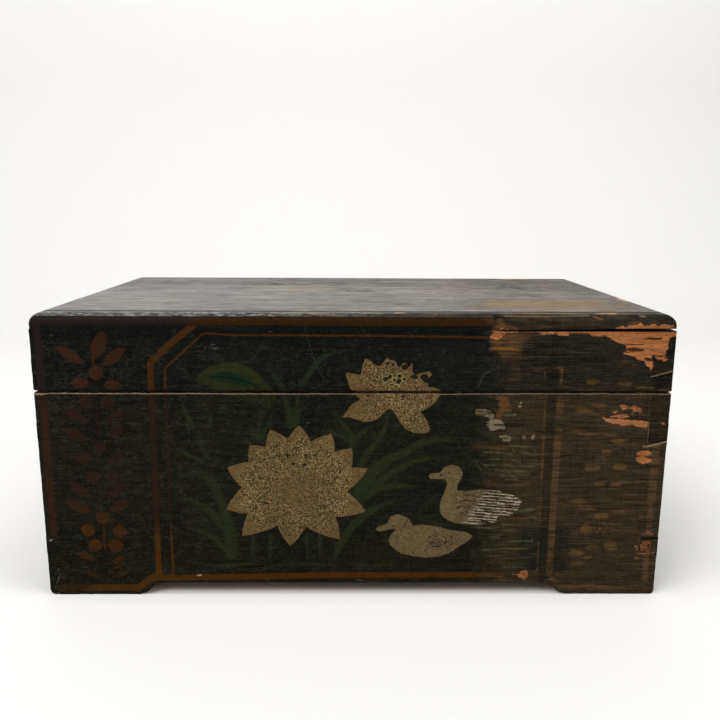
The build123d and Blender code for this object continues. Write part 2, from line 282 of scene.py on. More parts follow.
# Dark marks upon the blossoms and birds
motifs["mark"] = dict(ovals=(
    (23.2, 175.8, 2, 2), (26.9, 178, 1.6, 1.6), (30, 175.6, 1.3, 1.3), (33.9, 178.6, 1.8, 1.5),
    (33.6, 174.4, 1.9, 2.1), (37.7, 176, 1.3, 1.3), (28.2, 171.5, 2, 0.9), (31.6, 170.3, 1.6, 0.8),
    (37.9, 185.3, 2.6, 2.2), (45.2, 177.8, 2.6, 1.6), (52.6, 177.2, 3.2, 2.6), (24.9, 188.1, 1.2, 1.2),
    (28.9, 187.3, 1, 1.2), (10.2, 163.1, 1.3, 0.9), (36.9, 162.8, 1.3, 0.9), (41.9, 163.5, 0.9, 0.8),
    (57.2, 161.5, 1, 0.8), (26.2, 156.1, 0.8, 0.8), (67.4, 100.4, 0.9, 0.9), (73.2, 102.3, 0.6, 0.6),
    (-51, 116, 1.6, 1), (-37, 116, 1.4, 1), (-30, 116, 1.2, 0.9), (-38, 108.5, 1.5, 1), (-47, 109, 1.3, 0.9),
    (-12, 98, 1.2, 0.8), (47, 35.4, 0.9, 0.7), (-68, 77, 1.6, 1),
), strokes=(
    (0.5, 59.5, 43, 61.4, 44.6, 64.4, 43.6), (0.45, 62, 40.8, 65, 41, 68, 40.8),
    (0.45, 67.5, 42.4, 70, 44.6, 68.6, 46.8), (0.45, 71, 43.4, 73.6, 45.8, 72, 48.4),
    (0.45, 80, 73, 84, 74.6, 88, 73.6), (0.45, 83, 78, 87.6, 79.8, 91, 78.6),
    (0.45, 86, 83.4, 90, 84, 95, 82.6), (0.9, 99.8, 63.1, 105, 61.2, 110.7, 58.5),
    (0.4, 30, 57.8, 32.4, 58.6, 34.6, 58.2), (0.5, 99, 84.6, 108, 83.6, 117, 82.4),
    (0.5, 98, 80, 108, 79.2, 124, 77.6), (0.5, 96, 75.4, 108, 74.6, 125, 73.4),
    (0.5, 94, 70.8, 106, 70.2, 119, 69.2), (0.35, 39.6, 58.6, 41.6, 61, 41.2, 63.6),
))

# Reeds, stalks and grass
motifs["green"] = dict(strokes=(
    ((5.5, 5.5, 4.2, 3, 2.4, 1.6, 0.4), 4, 80, 7.6, 93, 21, 108.7, 41, 119.8, 56.4, 128, 69.8, 128.7,
     79.8, 126.4),
    ((3.6, 3.2, 2.6, 1.8, 1, 0.4), 9.8, 83, 21, 95.3, 34, 105.3, 49.8, 112, 65.3, 114.2, 75, 114.2),
    ((2.6, 2, 0.5), 15, 88.7, 35, 91.8, 48.7, 90), ((2.2, 1.2), 10, 84, 26, 91),
    ((1.8, 1.8, 1), 10, 68.5, 19, 75, 31, 78.5), ((2.4, 2.4, 1), -4.7, 113, -1.3, 130, -14.7, 148.7),
    ((1.6, 0.8), 0.9, 128.7, 13, 139.8), ((1, 1.6), -19, 135.3, -4.7, 128.7),
    ((3, 2.6, 2, 1), 5.3, 108.7, 13, 121, 21, 132, 26.4, 149.8),
    ((2.6, 3.4, 3, 1.6), 18.5, 74, 1, 60, -10.3, 43, -14, 33), ((5, 4.6, 3), -96, 35, -97, 55, -101, 73),
    ((1, 2.4, 3, 3.5), -134, 99, -119, 101.5, -109, 94, -101.5, 74),
    ((1, 2.4, 3, 3.5), -130.3, 81.5, -120, 76.5, -107.8, 66.5, -97.8, 55),
    ((0.8, 2, 2.5), -129, 56.5, -114, 51.5, -100, 37.8), ((0.8, 1.2), -126.5, 62.8, -114, 61.5),
    ((2.4, 1), -112.4, 115, -119, 131), ((1.8, 0.8), -116.9, 111.4, -135.8, 120.3),
    ((0.8, 2), -129, 155, -122.4, 138.7), ((0.8, 1.2), -109, 148.7, -109, 137.6),
    ((3.6, 2.2, 1), -48, 141, -50, 152, -53, 163), ((3.2, 1.9, 1), -44.2, 141, -43.4, 152, -42.4, 163),
    ((1.6, 0.8), -73.6, 128.7, -70.2, 151), ((1.8, 0.8), -71.3, 129.8, -62.4, 146.4),
    ((2, 1), -75.8, 131, -79, 139.8), ((1, 1.8), -60.8, 179.2, -52.4, 167.6),
    ((1, 2, 2.4, 1.6, 0.4), -41.3, 171, -33.6, 179.8, -29, 187.6, -20.2, 194.2, -6.9, 197.8),
    ((1.2, 1.8), -79, 33, -79, 50), ((1, 1.6), -65.3, 33, -65.3, 50), ((1, 1.6), -36.5, 33, -36.5, 50),
    ((1, 1.6), -26.5, 33, -26.5, 50), ((0.6, 0.5), 79.8, 123, 96.4, 106.4),
    ((0.7, 0.5), 84.8, 117.7, 95.8, 107.2), ((0.6, 1.4, 0.6), -130, 27, -104, 24.5, -78, 27),
    ((0.5, 1.4, 0.5), -66, 24, -40, 26.5, -14, 23.5), ((0.5, 1.2, 0.5), -6, 27.5, 16, 24.5, 34, 27),
    ((0.5, 0.7, 0.7, 0.7, 0.7, 0.5), 64.4, 83.5, 53.5, 75, 50.7, 68.5, 53.5, 63.5, 60, 61.3, 71.6, 58.5),
))

# Pale green strokes of the water at the right
motifs["ripple"] = dict(runs=(
    (0.8, 99.8, 118.8, 110, 118.4, 121, 117.4), (0.8, 120.5, 124, 127, 123.4, 133.3, 122.8),
    (1.1, 128, 119, 137, 116.8), (0.6, 121, 124, 124.5, 116.5), (0.55, 136.5, 124, 140, 116.5),
    (0.7, 122, 112.5, 128, 110.5), (0.7, 116, 109.3, 124, 107), (0.8, 109, 104.7, 114, 104, 120, 102.8),
    (0.75, 123, 103.6, 129, 103.2, 135, 102.4), (0.65, 113, 100.1, 125, 99.2), (0.45, 93, 113, 98, 104),
    (0.6, 118, 96.6, 126.5, 96.3), (1.2, 129.7, 71, 140.5, 72.3), (0.8, 136.3, 66, 142.2, 65.2),
    (0.8, 119.7, 54.3, 125.5, 53.9), (0.7, 107, 48.9, 114, 48.9), (0.8, 122.2, 45.2, 140.5, 45.8),
    (0.7, 102, 38, 119.7, 39.2, 137.2, 38.9), (0.5, 132, 31.5, 140.5, 31.5), (0.5, 122, 26.5, 134.7, 26.5),
    (0.5, 119, 23.5, 134.7, 23.5), (1, 115, 148.4, 122.6, 148.4), (0.55, 105, 113.5, 116, 112.8),
    (0.6, 128, 107.5, 138, 106.8), (0.55, 100, 108.6, 108, 108), (0.55, 126, 100.5, 136, 100),
    (0.55, 133, 113, 141, 112.4), (0.5, 104, 122, 116, 121.6), (0.6, 112, 130.6, 124, 130.2),
    (0.6, 96, 57, 110, 56.4), (0.5, 116, 59.6, 134, 59), (0.5, 104, 33, 122, 33.4), (0.5, 96, 112, 104, 105),
))

# Lotus leaf above and below the seam, then its heart and veins
motifs["leaf"] = dict(areas=(
    (-119, 174.2, -114.7, 180.9, -106.9, 185.3, -98, 188.1, -88, 188.7, -80.2, 185.3, -73.6, 180.9,
     -68, 175.3, -62.4, 168.7, -61, 166.4, -105.8, 166.8, -109, 170.3, -116.9, 172),
    (-92, 165, -59, 165, -59.6, 156, -64.7, 153.4, -70, 154.6, -80, 157.6),
))
motifs["heart"] = dict(areas=(
    (-106.9, 177.2, -100, 181.6, -93.6, 182, -80.2, 178, -71.3, 170.9, -82.4, 169.6, -93.6, 172.6,
     -104.7, 173.8),
))
motifs["vein"] = dict(strokes=(
    ((0.36, 0.6, 0.48), -108.6, 176.8, -98, 177.2, -83.6, 174.4, -69, 167.6),
    ((0.24, 0.4, 0.32), -101, 173.6, -90, 173, -80, 170.4),
    ((0.21, 0.35, 0.28), -99, 180, -90, 179.2, -80, 176.2),
))

# Where the lacquer has broken off down to the salmon ground
motifs["loss"] = dict(areas=(
    (168, 213, 240, 213, 240, 209.6, 236, 209.4, 235, 208.5, 234, 206.5, 234.3, 203, 233.5, 198, 233, 195.5,
     231.5, 194.5, 228, 194.3, 224, 195.4, 222, 194.6, 223.8, 189.3, 224.1, 186, 222.8, 183.4, 221.5, 186.3,
     219.5, 187.5, 217.5, 190, 214, 191.4, 210, 193.2, 205, 195.2, 199, 196.4, 205, 197.4, 203, 199,
     203, 202, 200, 203.4, 195.5, 204.8, 194, 206, 192, 206.8, 191, 208.2, 186, 209.2, 178, 209.3,
     174, 210.6, 168, 211.2),
    (136, 213, 168, 213, 168, 211.2, 160, 211.3, 157.5, 209.9, 152, 209.7, 150, 211.4, 142, 210.4,
     139, 210.8),
    (99.3, 208.7, 103.2, 210.3, 103.8, 212, 101.5, 212.4, 106, 214.5, 109, 215, 114, 214.6, 121, 213.8,
     121, 213.2, 115.5, 212.9, 110.5, 209.8, 109.5, 208, 105.5, 206.2, 103.5, 207.3, 101, 207.9),
    (225.2, 193.6, 231, 193.2, 240, 192.5, 240, 191.6, 235, 191.5, 233.5, 190.4, 229.5, 191.7, 227, 191),
    (193.4, 214.3, 194.3, 216, 196, 216.6, 200, 216.2, 201, 215.3, 205, 217, 209, 217.4, 211, 219,
     213, 219.2, 214, 218, 219, 217.5, 221, 218.5, 223, 218.3, 226, 217, 230, 217.8, 236, 217.3, 240, 215.6,
     240, 213, 193.4, 213),
    (201.5, 155.6, 204.5, 156.2, 208, 155.3, 213, 155.2, 216, 154.6, 218, 153.2, 218.8, 151, 217.5, 150,
     214, 151.8, 210, 152.6, 208.8, 153.6, 206.5, 153.4, 205, 152, 203.5, 152.2, 202, 154.4),
    (196, 151.2, 198.5, 152.2, 201.3, 150.6, 199.5, 149.5, 197, 149.6),
    (209.5, 149.9, 212, 150.9, 214, 150, 212.5, 148.5, 210, 148.7),
    (195, 147.3, 199.5, 147.8, 202, 149, 206.5, 149.3, 209.3, 147.9, 209.8, 146.6, 204, 146.2),
    (189, 147, 191, 146.3, 196, 145.6, 205, 145, 215, 144.6, 223.8, 143.4, 224.8, 142, 224.4, 139.5,
     223, 138.4, 219, 138.4, 215, 139.2, 213, 140.6, 208, 140, 204.5, 140, 201.5, 141.2, 197, 141.8,
     193, 142.8, 190.8, 144.8),
    (214.5, 116.7, 217, 116.9, 218.5, 118.8, 220, 119.9, 223.5, 120.1, 227, 119.8, 229, 118.4, 228.8, 117,
     226, 116.2, 217.5, 116.1),
    (217.3, 114.7, 221, 115, 225, 114.6, 228.5, 113, 229, 111.8, 226, 110.5, 223, 109.4, 219.5, 110.2),
    (126, 17, 131, 18, 133, 20.2, 137, 20.8, 138.4, 18.4, 138, 14.6, 136, 12.8, 134, 14.2, 131, 16),
    (234, 143.6, 237.6, 142.4, 236.4, 141.2, 234.6, 141.8),
    (226.4, 45.4, 230, 45.8, 233.8, 45, 234, 40, 233.4, 37, 227, 36.8, 226.2, 40),
), runs=(
    (0.25, 114, 212.1, 240, 212.1), (0.6, 186, 226.4, 192, 226.6), (0.9, 222.4, 41, 223.8, 39.8, 224.4, 38),
    (0.2, 223, 33.6, 223.4, 31, 226, 31.2), (0.4, 225, 35, 229, 34.6, 233, 35.4, 237, 36),
    (0.5, 227.8, 51, 231, 52.2, 236, 51.2),
))

# Dark islands left in the losses, cracks and the shadow lines at the pins
motifs["crack"] = dict(areas=(
    (203, 200.2, 206, 200.5, 212, 200.2, 216.5, 199.5, 217.2, 198.2, 213, 197.7, 206, 197.9, 203, 199),
    (214, 207.8, 221, 208.5, 225, 208, 229.5, 208.3, 229, 206.6, 225, 206.4, 220, 206.8, 214, 207.1),
    (216.5, 193.4, 219.5, 193.2, 222.5, 192.4, 223.8, 190.4, 221, 190.2, 218.5, 190.9, 217.3, 192),
    (227, 48.6, 231, 49.2, 236, 49.4, 240.5, 50, 240.5, 47, 235, 46, 229, 46, 227, 46.4),
), runs=(
    (0.45, 199, 203.3, 205, 203, 210, 202.8, 216, 203.1), (0.45, 221.5, 198.6, 227, 198.5, 231.3, 198.2),
    (0.4, 224.3, 194.6, 224.6, 183), (0.45, 191, 146.3, 205, 145.6, 219, 145, 226, 144, 231, 143.8),
    (0.5, 219, 145, 226, 144.1, 233, 143.8, 240, 141.6), (0.5, 226, 126.4, 240, 128.8),
    (0.5, 226.2, 47, 225.6, 41, 225.8, 36.6, 231, 36), (0.4, 228, 44.4, 229.4, 41),
    (0.4, 230.4, 45, 231.8, 41.6, 231, 38.4), (0.4, 227.6, 39.6, 229.6, 38), (0.5, 233, 43, 233.4, 38),
    (0.7, 223.7, 176.8, 239.2, 181), (0.6, 134.5, 17.6, 136.5, 16.4),
    (0.3, 203, 196.8, 213, 196.2, 224, 195.2), (0.5, 225.6, 141, 225.8, 129),
))

# Pale scratches, chips and rubbed edges
motifs["scratch"] = dict(runs=(
    (0.2, -37.4, 217.6, -34, 205, -31.3, 196.4, -28, 185.3, -24.7, 178.7, -19.7, 172),
    (0.15, 39.8, 213, 45.3, 203, 49.8, 194, 53, 184), (0.15, 90.5, 26, 101.3, 14.3), (0.15, 3, 219, 6, 213),
    (0.2, 7, 212, 11.4, 207.6, 14.2, 203.7), (0.15, 5.6, 214.6, 9.6, 209.4),
    (0.3, 105.5, 183.8, 102.5, 183, 99.5, 181, 97, 179.5, 95.2, 175, 94, 171.5, 92, 169),
    (0.2, 101.2, 186.7, 104, 186.7), (0.1, 105, 188.4, 105, 191), (0, 225, 142.6, 225.2, 127.6),
    (0.55, 221.8, 123.6, 224, 123.3, 231, 124.9, 236, 126.3, 240, 127.6), (0.6, 223.7, 178.4, 239.2, 182.7),
    (0.7, -223.4, 208.5, -223, 208.5), (0.8, -123.4, 16.3, -120.4, 16.6), (0.4, 3, 12.1, 7, 12.1),
    (0.6, -62.8, 211.8, -62, 211.8), (0.05, -183.5, 139, -180, 141.4, -177.6, 142.2),
    (0.1, -181.6, 143, -179, 138.6), (0.5, -35.5, 142, -34, 142), (0.3, -92, 101.5, -84, 100.5),
    (0.7, -237, 46, -235.6, 46.6), (0.1, -235, 46.6, -229, 49), (0.02, -213, 214, -70, 214),
    (0.6, -121.2, 9.6, -120.8, 9.6), (0.3, -111.6, 196.6, -110.8, 200.6), (0.5, -107, 199.6, -102, 199),
    (0.4, -106, 202, -103, 201.6), (0.25, -104.6, 197.4, -100.6, 200.6), (0.15, -236, 6, -233, 13, -232, 22),
    (0.05, -234.6, 9, -230.6, 18), (0.02, 97, 88.2, 214, 88.6), (0.1, 150, 112.8, 214.5, 116.3, 234.5, 116),
    (0.15, 150, 170.4, 160, 169.5, 171, 168.8, 190, 168.2, 210, 167.4), (0.25, 168, 167.3, 186, 167.3),
    (0.2, 214, 168.3, 226, 167.9, 239, 167.9), (0.3, -238.6, 1.6, -233, 1.2), (0.02, -215, 153, -203, 160),
    (0.5, 212.8, 223.8, 216.4, 223.6), (0.3, 111, 223.5, 140, 223.3, 175, 223.9),
))

# Brown haze where the lacquer is thin
motifs["stain"] = dict(areas=(
    (102, 212.6, 124, 212.2, 130, 210.5, 131, 208, 126, 205, 124.5, 202.5, 124.4, 190, 112, 189.6, 109, 194,
     107, 197.5, 101.5, 199, 103, 203, 101.8, 206),
    (104, 213.6, 122, 213.6, 119, 216.5, 112, 218.5, 108, 221, 105, 218, 103.5, 215),
), ovals=(
    (106, 94.5, 5, 2.4), (130, 93, 4, 1.4), (105, 123, 12, 2.4), (131, 63.9, 9.5, 0.6),
    (121.3, 177.2, 3.2, 1.2), (119.5, 191.2, 4.5, 1.2), (229.4, 42, 3.2, 4.4), (154, 185, 2, 1.6),
    (206, 139.4, 6, 0.8),
))

# Brighter gilt
motifs["gilt"] = dict(areas=(
    (100.8, 199.9, 104, 200.9, 110, 200.3, 118, 199.9, 124, 198.7, 124.5, 197.6, 115, 198.2, 108, 198.5),
    (107, 162.3, 112, 163, 116.5, 162, 117, 158.5, 118.5, 156, 114, 153.2, 118.5, 153.2, 119.7, 151,
     114, 151, 113, 148.5, 112, 146.5, 110, 145.5, 107.5, 147, 108, 149.5, 110, 151.5, 111, 154.5,
     109, 156.5, 110.5, 159, 107.5, 160.5),
), runs=(
    (0.35, 102, 204.6, 124, 204.2), (0.3, 142.9, 181.6, 143.2, 178.6), (0.6, 178, 223.2, 184, 221.7),
    (0.5, 205, 219, 213, 219.6),
))

fieldOf = {"runs": runField, "strokes": strokeField, "remains": remainField, "leaves": leafField,
           "ovals": ovalField, "areas": areaField, "blossoms": blossomField}


def motifField(x, z, name):
    parts = [(fieldOf[kind], part) for kind in motifs[name] for part in motifs[name][kind]]
    return np.minimum.reduce([field(x, z, part) for field, part in parts])


def layPaint(mesh):
    # Each motif as an attribute of the mesh, so that the finish can follow its outline
    places = np.empty(len(mesh.vertices) * 3)
    mesh.vertices.foreach_get("co", places)
    for name in motifs:
        layer = mesh.attributes.new(name, "FLOAT", "POINT")
        field = motifField(places[0::3] / mm, places[2::3] / mm, name)
        layer.data.foreach_set("value", np.clip(field, -farAway, farAway).astype(np.float32))


tree = None  # nodes of the finish in hand; newMaterial sets it, and the other helpers add to it


def newMaterial(name):
    global tree
    material = bpy.data.materials.new(name)
    material.use_nodes = True
    tree = material.node_tree
    tree.nodes.clear()
    return material


def feed(socket, value):
    # Links a socket, or sets it to a value or to a tone by its name
    if isinstance(value, bpy.types.NodeSocket):
        tree.links.new(value, socket)
    else:
        socket.default_value = tone(value) if isinstance(value, str) else value


def put(kind, feeds, **settings):
    made = tree.nodes.new("ShaderNode" + kind)
    for key, value in settings.items():
        setattr(made, key, value)
    for key, value in feeds.items():
        feed(made.inputs[key], value)
    return made


def calc(operation, *values, clamp=False):
    return put("Math", dict(enumerate(values)), operation=operation, use_clamp=clamp).outputs[0]


def chained(operation, values):
    result = values[0]
    for value in values[1:]:
        result = calc(operation, result, value)
    return result


def times(*values):
    return chained("MULTIPLY", values)


def plus(*values):
    return chained("ADD", values)


def most(*values):
    return chained("MAXIMUM", values)


def less(value, taken):
    return calc("SUBTRACT", value, taken)


def waver(source, reach):
    return times(less(source, 0.5), reach)


def ease(value, low, high, start=0.0, end=1.0):
    # Smooth step from start at low to end at high
    feeds = {"Value": value, "From Min": low, "From Max": high, "To Min": start, "To Max": end}
    return put("MapRange", feeds, interpolation_type="SMOOTHSTEP").outputs[0]


def blend(factor, under, over):
    made = put("Mix", {}, data_type="RGBA", clamp_factor=True)
    sockets = [socket for socket in made.inputs if socket.enabled]
    for socket, value in zip(sockets, (factor, under, over)):
        feed(socket, value)
    return next(socket for socket in made.outputs if socket.enabled)


def coats(under, *layers):
    # Lays coats one over another, each given as its tone and the strengths that multiply
    for tint, *strengths in layers:
        under = blend(times(*strengths), under, tint)
    return under


def mottle(scale, detail=4.0, rough=0.55, shift=(0, 0, 0), bend=0.0):
    # Noise on object coordinates; the scale for each axis is in units per metre
    feeds = {"Vector": stretched(scale, shift), "Scale": 1.0, "Detail": detail, "Roughness": rough,
             "Distortion": bend}
    return put("TexNoise", feeds).outputs["Fac"]


def stretched(scale, shift=(0, 0, 0)):
    place = put("TexCoord", {}).outputs["Object"]
    return put("Mapping", {"Vector": place, "Scale": scale, "Location": shift}).outputs[0]


def crackle(scale):
    # 1 along the joints of small irregular cells
    feeds = {"Vector": stretched((scale,) * 3), "Scale": 1.0}
    cells = put("TexVoronoi", feeds, feature="DISTANCE_TO_EDGE")
    return ease(cells.outputs["Distance"], 0.16, 0.04)


def attribute(name):
    return put("Attribute", {}, attribute_name=name).outputs["Fac"]


def axes():
    place = put("TexCoord", {}).outputs["Object"]
    return put("SeparateXYZ", {"Vector": place}).outputs[0:3]


def tone(name):
    # Linear colour of a tone written by its display values of 0 to 255
    def linear(value):
        value /= 255
        return value / 12.92 if value <= 0.04045 else ((value + 0.055) / 1.055) ** 2.4
    return (*map(linear, tones[name]), 1.0)


def finishMaterial(material, colour, roughness, height, bumpStrength, bumpDistance, shine, metallic=0.0):
    bump = put("Bump", {"Height": height, "Strength": bumpStrength, "Distance": bumpDistance}).outputs[0]
    feeds = {"Base Color": colour, "Roughness": roughness, "Normal": bump, "Specular IOR Level": shine,
             "Metallic": metallic}
    put("OutputMaterial", {"Surface": put("BsdfPrincipled", feeds).outputs[0]})
    return material


tones = {
    "lidBlack": (18, 20, 18), "leftBlack": (24, 21, 15), "pondBlack": (21, 22, 15), "lowBlack": (23, 20, 10),
    "deep": (4, 5, 5), "dust": (50, 50, 40), "brown": (50, 41, 28), "brownStreak": (78, 62, 45),
    # bare ground, arrises and scratches
    "salmon": (162, 103, 62), "salmonPale": (158, 108, 78), "salmonDeep": (120, 72, 42),
    "arris": (120, 102, 84), "scratch": (104, 104, 96), "scratchPale": (150, 126, 96),
    "stain": (88, 62, 36), "gold": (118, 76, 34),
    # border and sprays
    "bandRed": (38, 24, 16), "bandOchre": (66, 38, 5), "bandOrange": (60, 35, 12), "bandTop": (44, 26, 8),
    "bandEdge": (44, 26, 18), "bandDull": (33, 24, 21), "sprayTop": (60, 33, 18), "sprayRed": (42, 25, 17),
    "sprayOrange": (68, 37, 5), "fadedOlive": (90, 67, 30), "fadedOchre": (84, 62, 36),
    # blossoms and birds
    "cream": (86, 68, 40), "creamLight": (156, 130, 87), "creamBird": (86, 75, 49),
    "creamCrack": (40, 30, 20), "creamGrey": (112, 102, 78), "creamRim": (118, 106, 62),
    "feather": (148, 140, 118), "pod": (14, 24, 12),
    # greens
    "reed": (41, 52, 27), "reedOlive": (48, 50, 24), "ripple": (76, 82, 52), "leafOlive": (44, 47, 18),
    "leafTeal": (15, 33, 23),
    # upper face of the lid; topDark also paints a dark reflection line, topGlint is a painted highlight
    "topWorn": (62, 59, 52), "topDark": (20, 22, 22), "topTan": (112, 94, 66), "topBare": (176, 128, 88),
    "topBrown": (62, 50, 38), "topGlint": (196, 204, 214),
    # bare wood with the painted shade inside the open joint, hinges, nails and the sweep behind the box
    "woodDeep": (122, 92, 62), "woodLight": (160, 124, 86), "woodCloud": (92, 68, 46),
    "woodPore": (70, 50, 34), "woodJointShade": (6, 5, 4), "brassBright": (176, 138, 72),
    "brassDull": (92, 68, 36), "ironBright": (90, 84, 80), "ironDull": (58, 42, 34),
    "sweep": (222, 220, 216),
}

# Places on the front in metres: for each axis where a change starts and where it is full
spots = {
    "lowGround": (("z", 0.08, 0.02),),
    "byLine": (("x", 0.1455, 0.147), ("x", 0.1535, 0.152)),
    "byPin": (("x", 0.2248, 0.2256), ("z", 0.1265, 0.1275)),
    "underBand": (("z", 0.197, 0.208), ("x", 0.11, 0.09)),
    "byLineLow": (("z", 0.064, 0.05), ("z", 0.018, 0.022), ("x", 0.126, 0.134), ("x", 0.174, 0.166)),
    "boardEdge": (("z", 0.2135, 0.2145), ("x", 0.105, 0.12)),
    "lowBand": (("z", 0.064, 0.045),),
    "topBand": (("z", 0.2160, 0.2164),),
    "topLeftBand": (("z", 0.2160, 0.2164), ("x", -0.105, -0.135)),
    "leftUpright": (("x", -0.223, -0.23), ("z", 0.045, 0.05)),
    "lowSpray": (("z", 0.09, 0.05),),
    "leftSpray": (("x", -0.196, -0.186, 0.95, 0.75), ("z", 0.02, 0.04, 0.5, 1)),
    "birds": (("x", 0.012, 0.018), ("z", 0.115, 0.111)),
    "rearWing": (("x", 0.077, 0.084), ("z", 0.062, 0.068)),
    "frontWing": (("x", 0.055, 0.062), ("x", 0.084, 0.078), ("z", 0.036, 0.042), ("z", 0.053, 0.049)),
    "rearTail": (("z", 0.1, 0.095), ("z", 0.056, 0.062)),
    "thirdBird": (("x", 0.095, 0.1), ("z", 0.11, 0.12)),
    "rubbedCream": (("x", 0.085, 0.1), ("z", 0.1, 0.11)),
    "pod": (("x", 0.018, 0.022), ("x", 0.042, 0.039), ("z", 0.167, 0.17), ("z", 0.182, 0.181)),
    "paleLoss": (("z", 0.148, 0.1465), ("z", 0.136, 0.138), ("x", 0.215, 0.2, 0.2, 0.7)),
    "onBody": (("z", 0.166, 0.164),),
    "jointLoss": (("z", 0.2085, 0.2095),),
    "socketLoss": (("z", 0.056, 0.05), ("x", 0.2, 0.21)),
    "upperBody": (("z", 0.1465, 0.1475),),
    "jointLeft": (("x", 0.125, 0.12), ("z", 0.2, 0.201)),
    "inSocket": (("x", 0.2255, 0.226), ("z", 0.047, 0.046), ("z", 0.0355, 0.036)),
    "rightEdge": (("x", 0.212, 0.22),),
    "topEdge": (("z", 0.2205, 0.2215), ("x", 0.1, 0.105)),
    "leftFoot": (("z", 0.05, 0.045), ("x", -0.115, -0.12)),
    "aboveSeam": (("z", 0.1712, 0.1708), ("x", 0.14, 0.145)),
    # painted shade: black along the open joint under the top board, at the right
    "openJointShade": (("z", 0.2123, 0.2126), ("x", 0.105, 0.112)),
}
rubbedFromTo = (0.104, 0.140)  # metres along x, where the rubbed right side begins


def pondLacquer():
    # Painted front: dark lacquer, border, sprays, lotus, ducks and reeds, rubbed on the right
    material = newMaterial("pond_lacquer")
    x, y, z = axes()
    cloud = mottle((14, 14, 14), 3)
    speck = mottle((460, 500, 860), 3, 0.75)
    dots = mottle((1350, 1350, 1200), 1, 0.6, (2, 2, 2))
    soft = mottle((300, 300, 340), 3, 0.6, (1, 6, 3))
    grain = mottle((30, 40, 760), 5, 0.65)
    upright = mottle((620, 60, 34), 3, 0.6)
    streak = mottle((46, 60, 520), 4, 0.7, (3, 1, 7))
    patchy = mottle((110, 110, 160), 4, 0.6, (5, 0, 2))
    torn = mottle((170, 170, 480), 5, 0.7, (9, 4, 1))

    def coverage(name, ragged, fade, source=soft):
        # 1 inside a motif; its outline wavers by ragged mm and fades over fade mm
        return ease(plus(attribute(name), waver(source, ragged)), fade, -fade)

    def spot(name):
        # 1 within a named place, fading over its margins
        return times(*[ease({"x": x, "z": z}[axis], *limits) for axis, *limits in spots[name]])

    # ground: olive black in the middle, browner at the left, greyer on the lid, rubbed brown at the right
    rubbed = ease(plus(x, times(patchy, 0.03)), *rubbedFromTo)
    onLid = ease(z, seamZ - 0.0005, seamZ + 0.0005)
    beside = most(times(spot("byLine"), 0.35), times(spot("byPin"), 0.4))
    dusty = times(ease(patchy, 0.38, 0.62, 0.1, 0.55), ease(x, -0.12, 0.07, 1.15, 0.85))
    colour = coats(
        blend(ease(x, -0.15, -0.05), "leftBlack", "pondBlack"),
        ("lowBlack", spot("lowGround")),
        ("lidBlack", onLid),
        ("deep", ease(cloud, 0.55, 0.35), 0.4),
        ("brown", rubbed, ease(streak, 0.25, 0.5), ease(onLid, 0, 1, 1, 0.4)),
        ("brownStreak", rubbed, ease(streak, 0.54, 0.68), ease(onLid, 0, 1, 0.8, 0.5)),
        ("deep", beside),
        ("dust", ease(speck, 0.42, 0.66), dusty),
        ("deep", ease(speck, 0.46, 0.36), 0.45),
        ("deep", ease(grain, 0.5, 0.62), 0.5),
        ("deep", rubbed, ease(upright, 0.54, 0.68), 0.25),
        ("deep", spot("underBand"), 0.4),
        ("lidBlack", spot("byLineLow"), ease(patchy, 0.35, 0.6, 0.9, 0.4)),
        ("brownStreak", spot("boardEdge"), 0.12, ease(streak, 0.35, 0.6)),
    )

    # greens: reeds are deep green at their roots and olive at their ends
    reedTone = blend(ease(plus(x, times(cloud, 0.06)), 0.03, 0.08), "reed", "reedOlive")
    colour = coats(
        colour,
        (reedTone, coverage("green", 4.0, 1.3), ease(patchy, 0.3, 0.6, 0.95, 0.45),
         ease(speck, 0.35, 0.6, 1, 0.55), ease(x, -0.1, -0.03, 0.95, 1), ease(streak, 0.3, 0.6, 1, 0.7)),
        ("leafOlive", coverage("leaf", 1.6, 0.8), ease(soft, 0.35, 0.6, 0.4, 0.85),
         ease(streak, 0.3, 0.6, 1, 0.6), ease(onLid, 0, 1, 0.45, 1)),
        ("leafTeal", coverage("heart", 3.0, 1.4), 0.85),
        ("deep", coverage("vein", 0.6, 0.35), 0.9),
        ("ripple", coverage("ripple", 2.2, 0.6), ease(speck, 0.35, 0.55, 0.75, 0.3)),
    )

    # border and spray: ochre below, orange on the lid, dull red between, faded at the right
    edgeTone = blend(ease(z, 0.15, 0.17), "bandEdge", "bandDull")
    bandTone = coats(
        blend(spot("lowBand"), "bandRed", "bandOchre"),
        ("bandOrange", onLid),
        ("bandTop", spot("topBand")),
        ("bandDull", spot("topLeftBand")),
        (edgeTone, spot("leftUpright")),
        ("fadedOchre", rubbed),
    )
    lost = blend(rubbed, (1, 1, 1, 1), ease(streak, 0.38, 0.58, 0.1, 0.8))
    atFoot = times(ease(z, 0.012, 0.010), ease(calc("ABSOLUTE", x), 0.195, 0.225))
    sprayTone = coats(
        blend(onLid, "sprayRed", "sprayTop"),
        ("sprayOrange", spot("lowSpray")),
        ("fadedOlive", rubbed),
    )
    sprayHold = blend(rubbed, spot("leftSpray"), ease(streak, 0.36, 0.56, 0.15, 0.95))
    hazeHold = times(ease(streak, 0.36, 0.58, 0.15, 0.85), ease(less(z, x), 0.07, 0.096, 0.45, 1.1))
    colour = coats(
        colour,
        (bandTone, coverage("border", 1.2, 0.35), ease(patchy, 0.3, 0.5, 0.6, 1), lost,
         ease(speck, 0.35, 0.5, 1, 0.8), ease(atFoot, 0, 1, 1, 0.3)),
        (sprayTone, coverage("spray", 2.0, 0.5), ease(patchy, 0.3, 0.6, 1, 0.6),
         ease(speck, 0.35, 0.55, 1, 0.75), sprayHold),
        ("stain", coverage("stain", 7.0, 2.6, torn), hazeHold),
        ("gold", coverage("gilt", 3.0, 0.7, torn), ease(speck, 0.35, 0.6, 1, 0.5),
         ease(z, 0.165, 0.185, 0.5, 0.85)),
    )

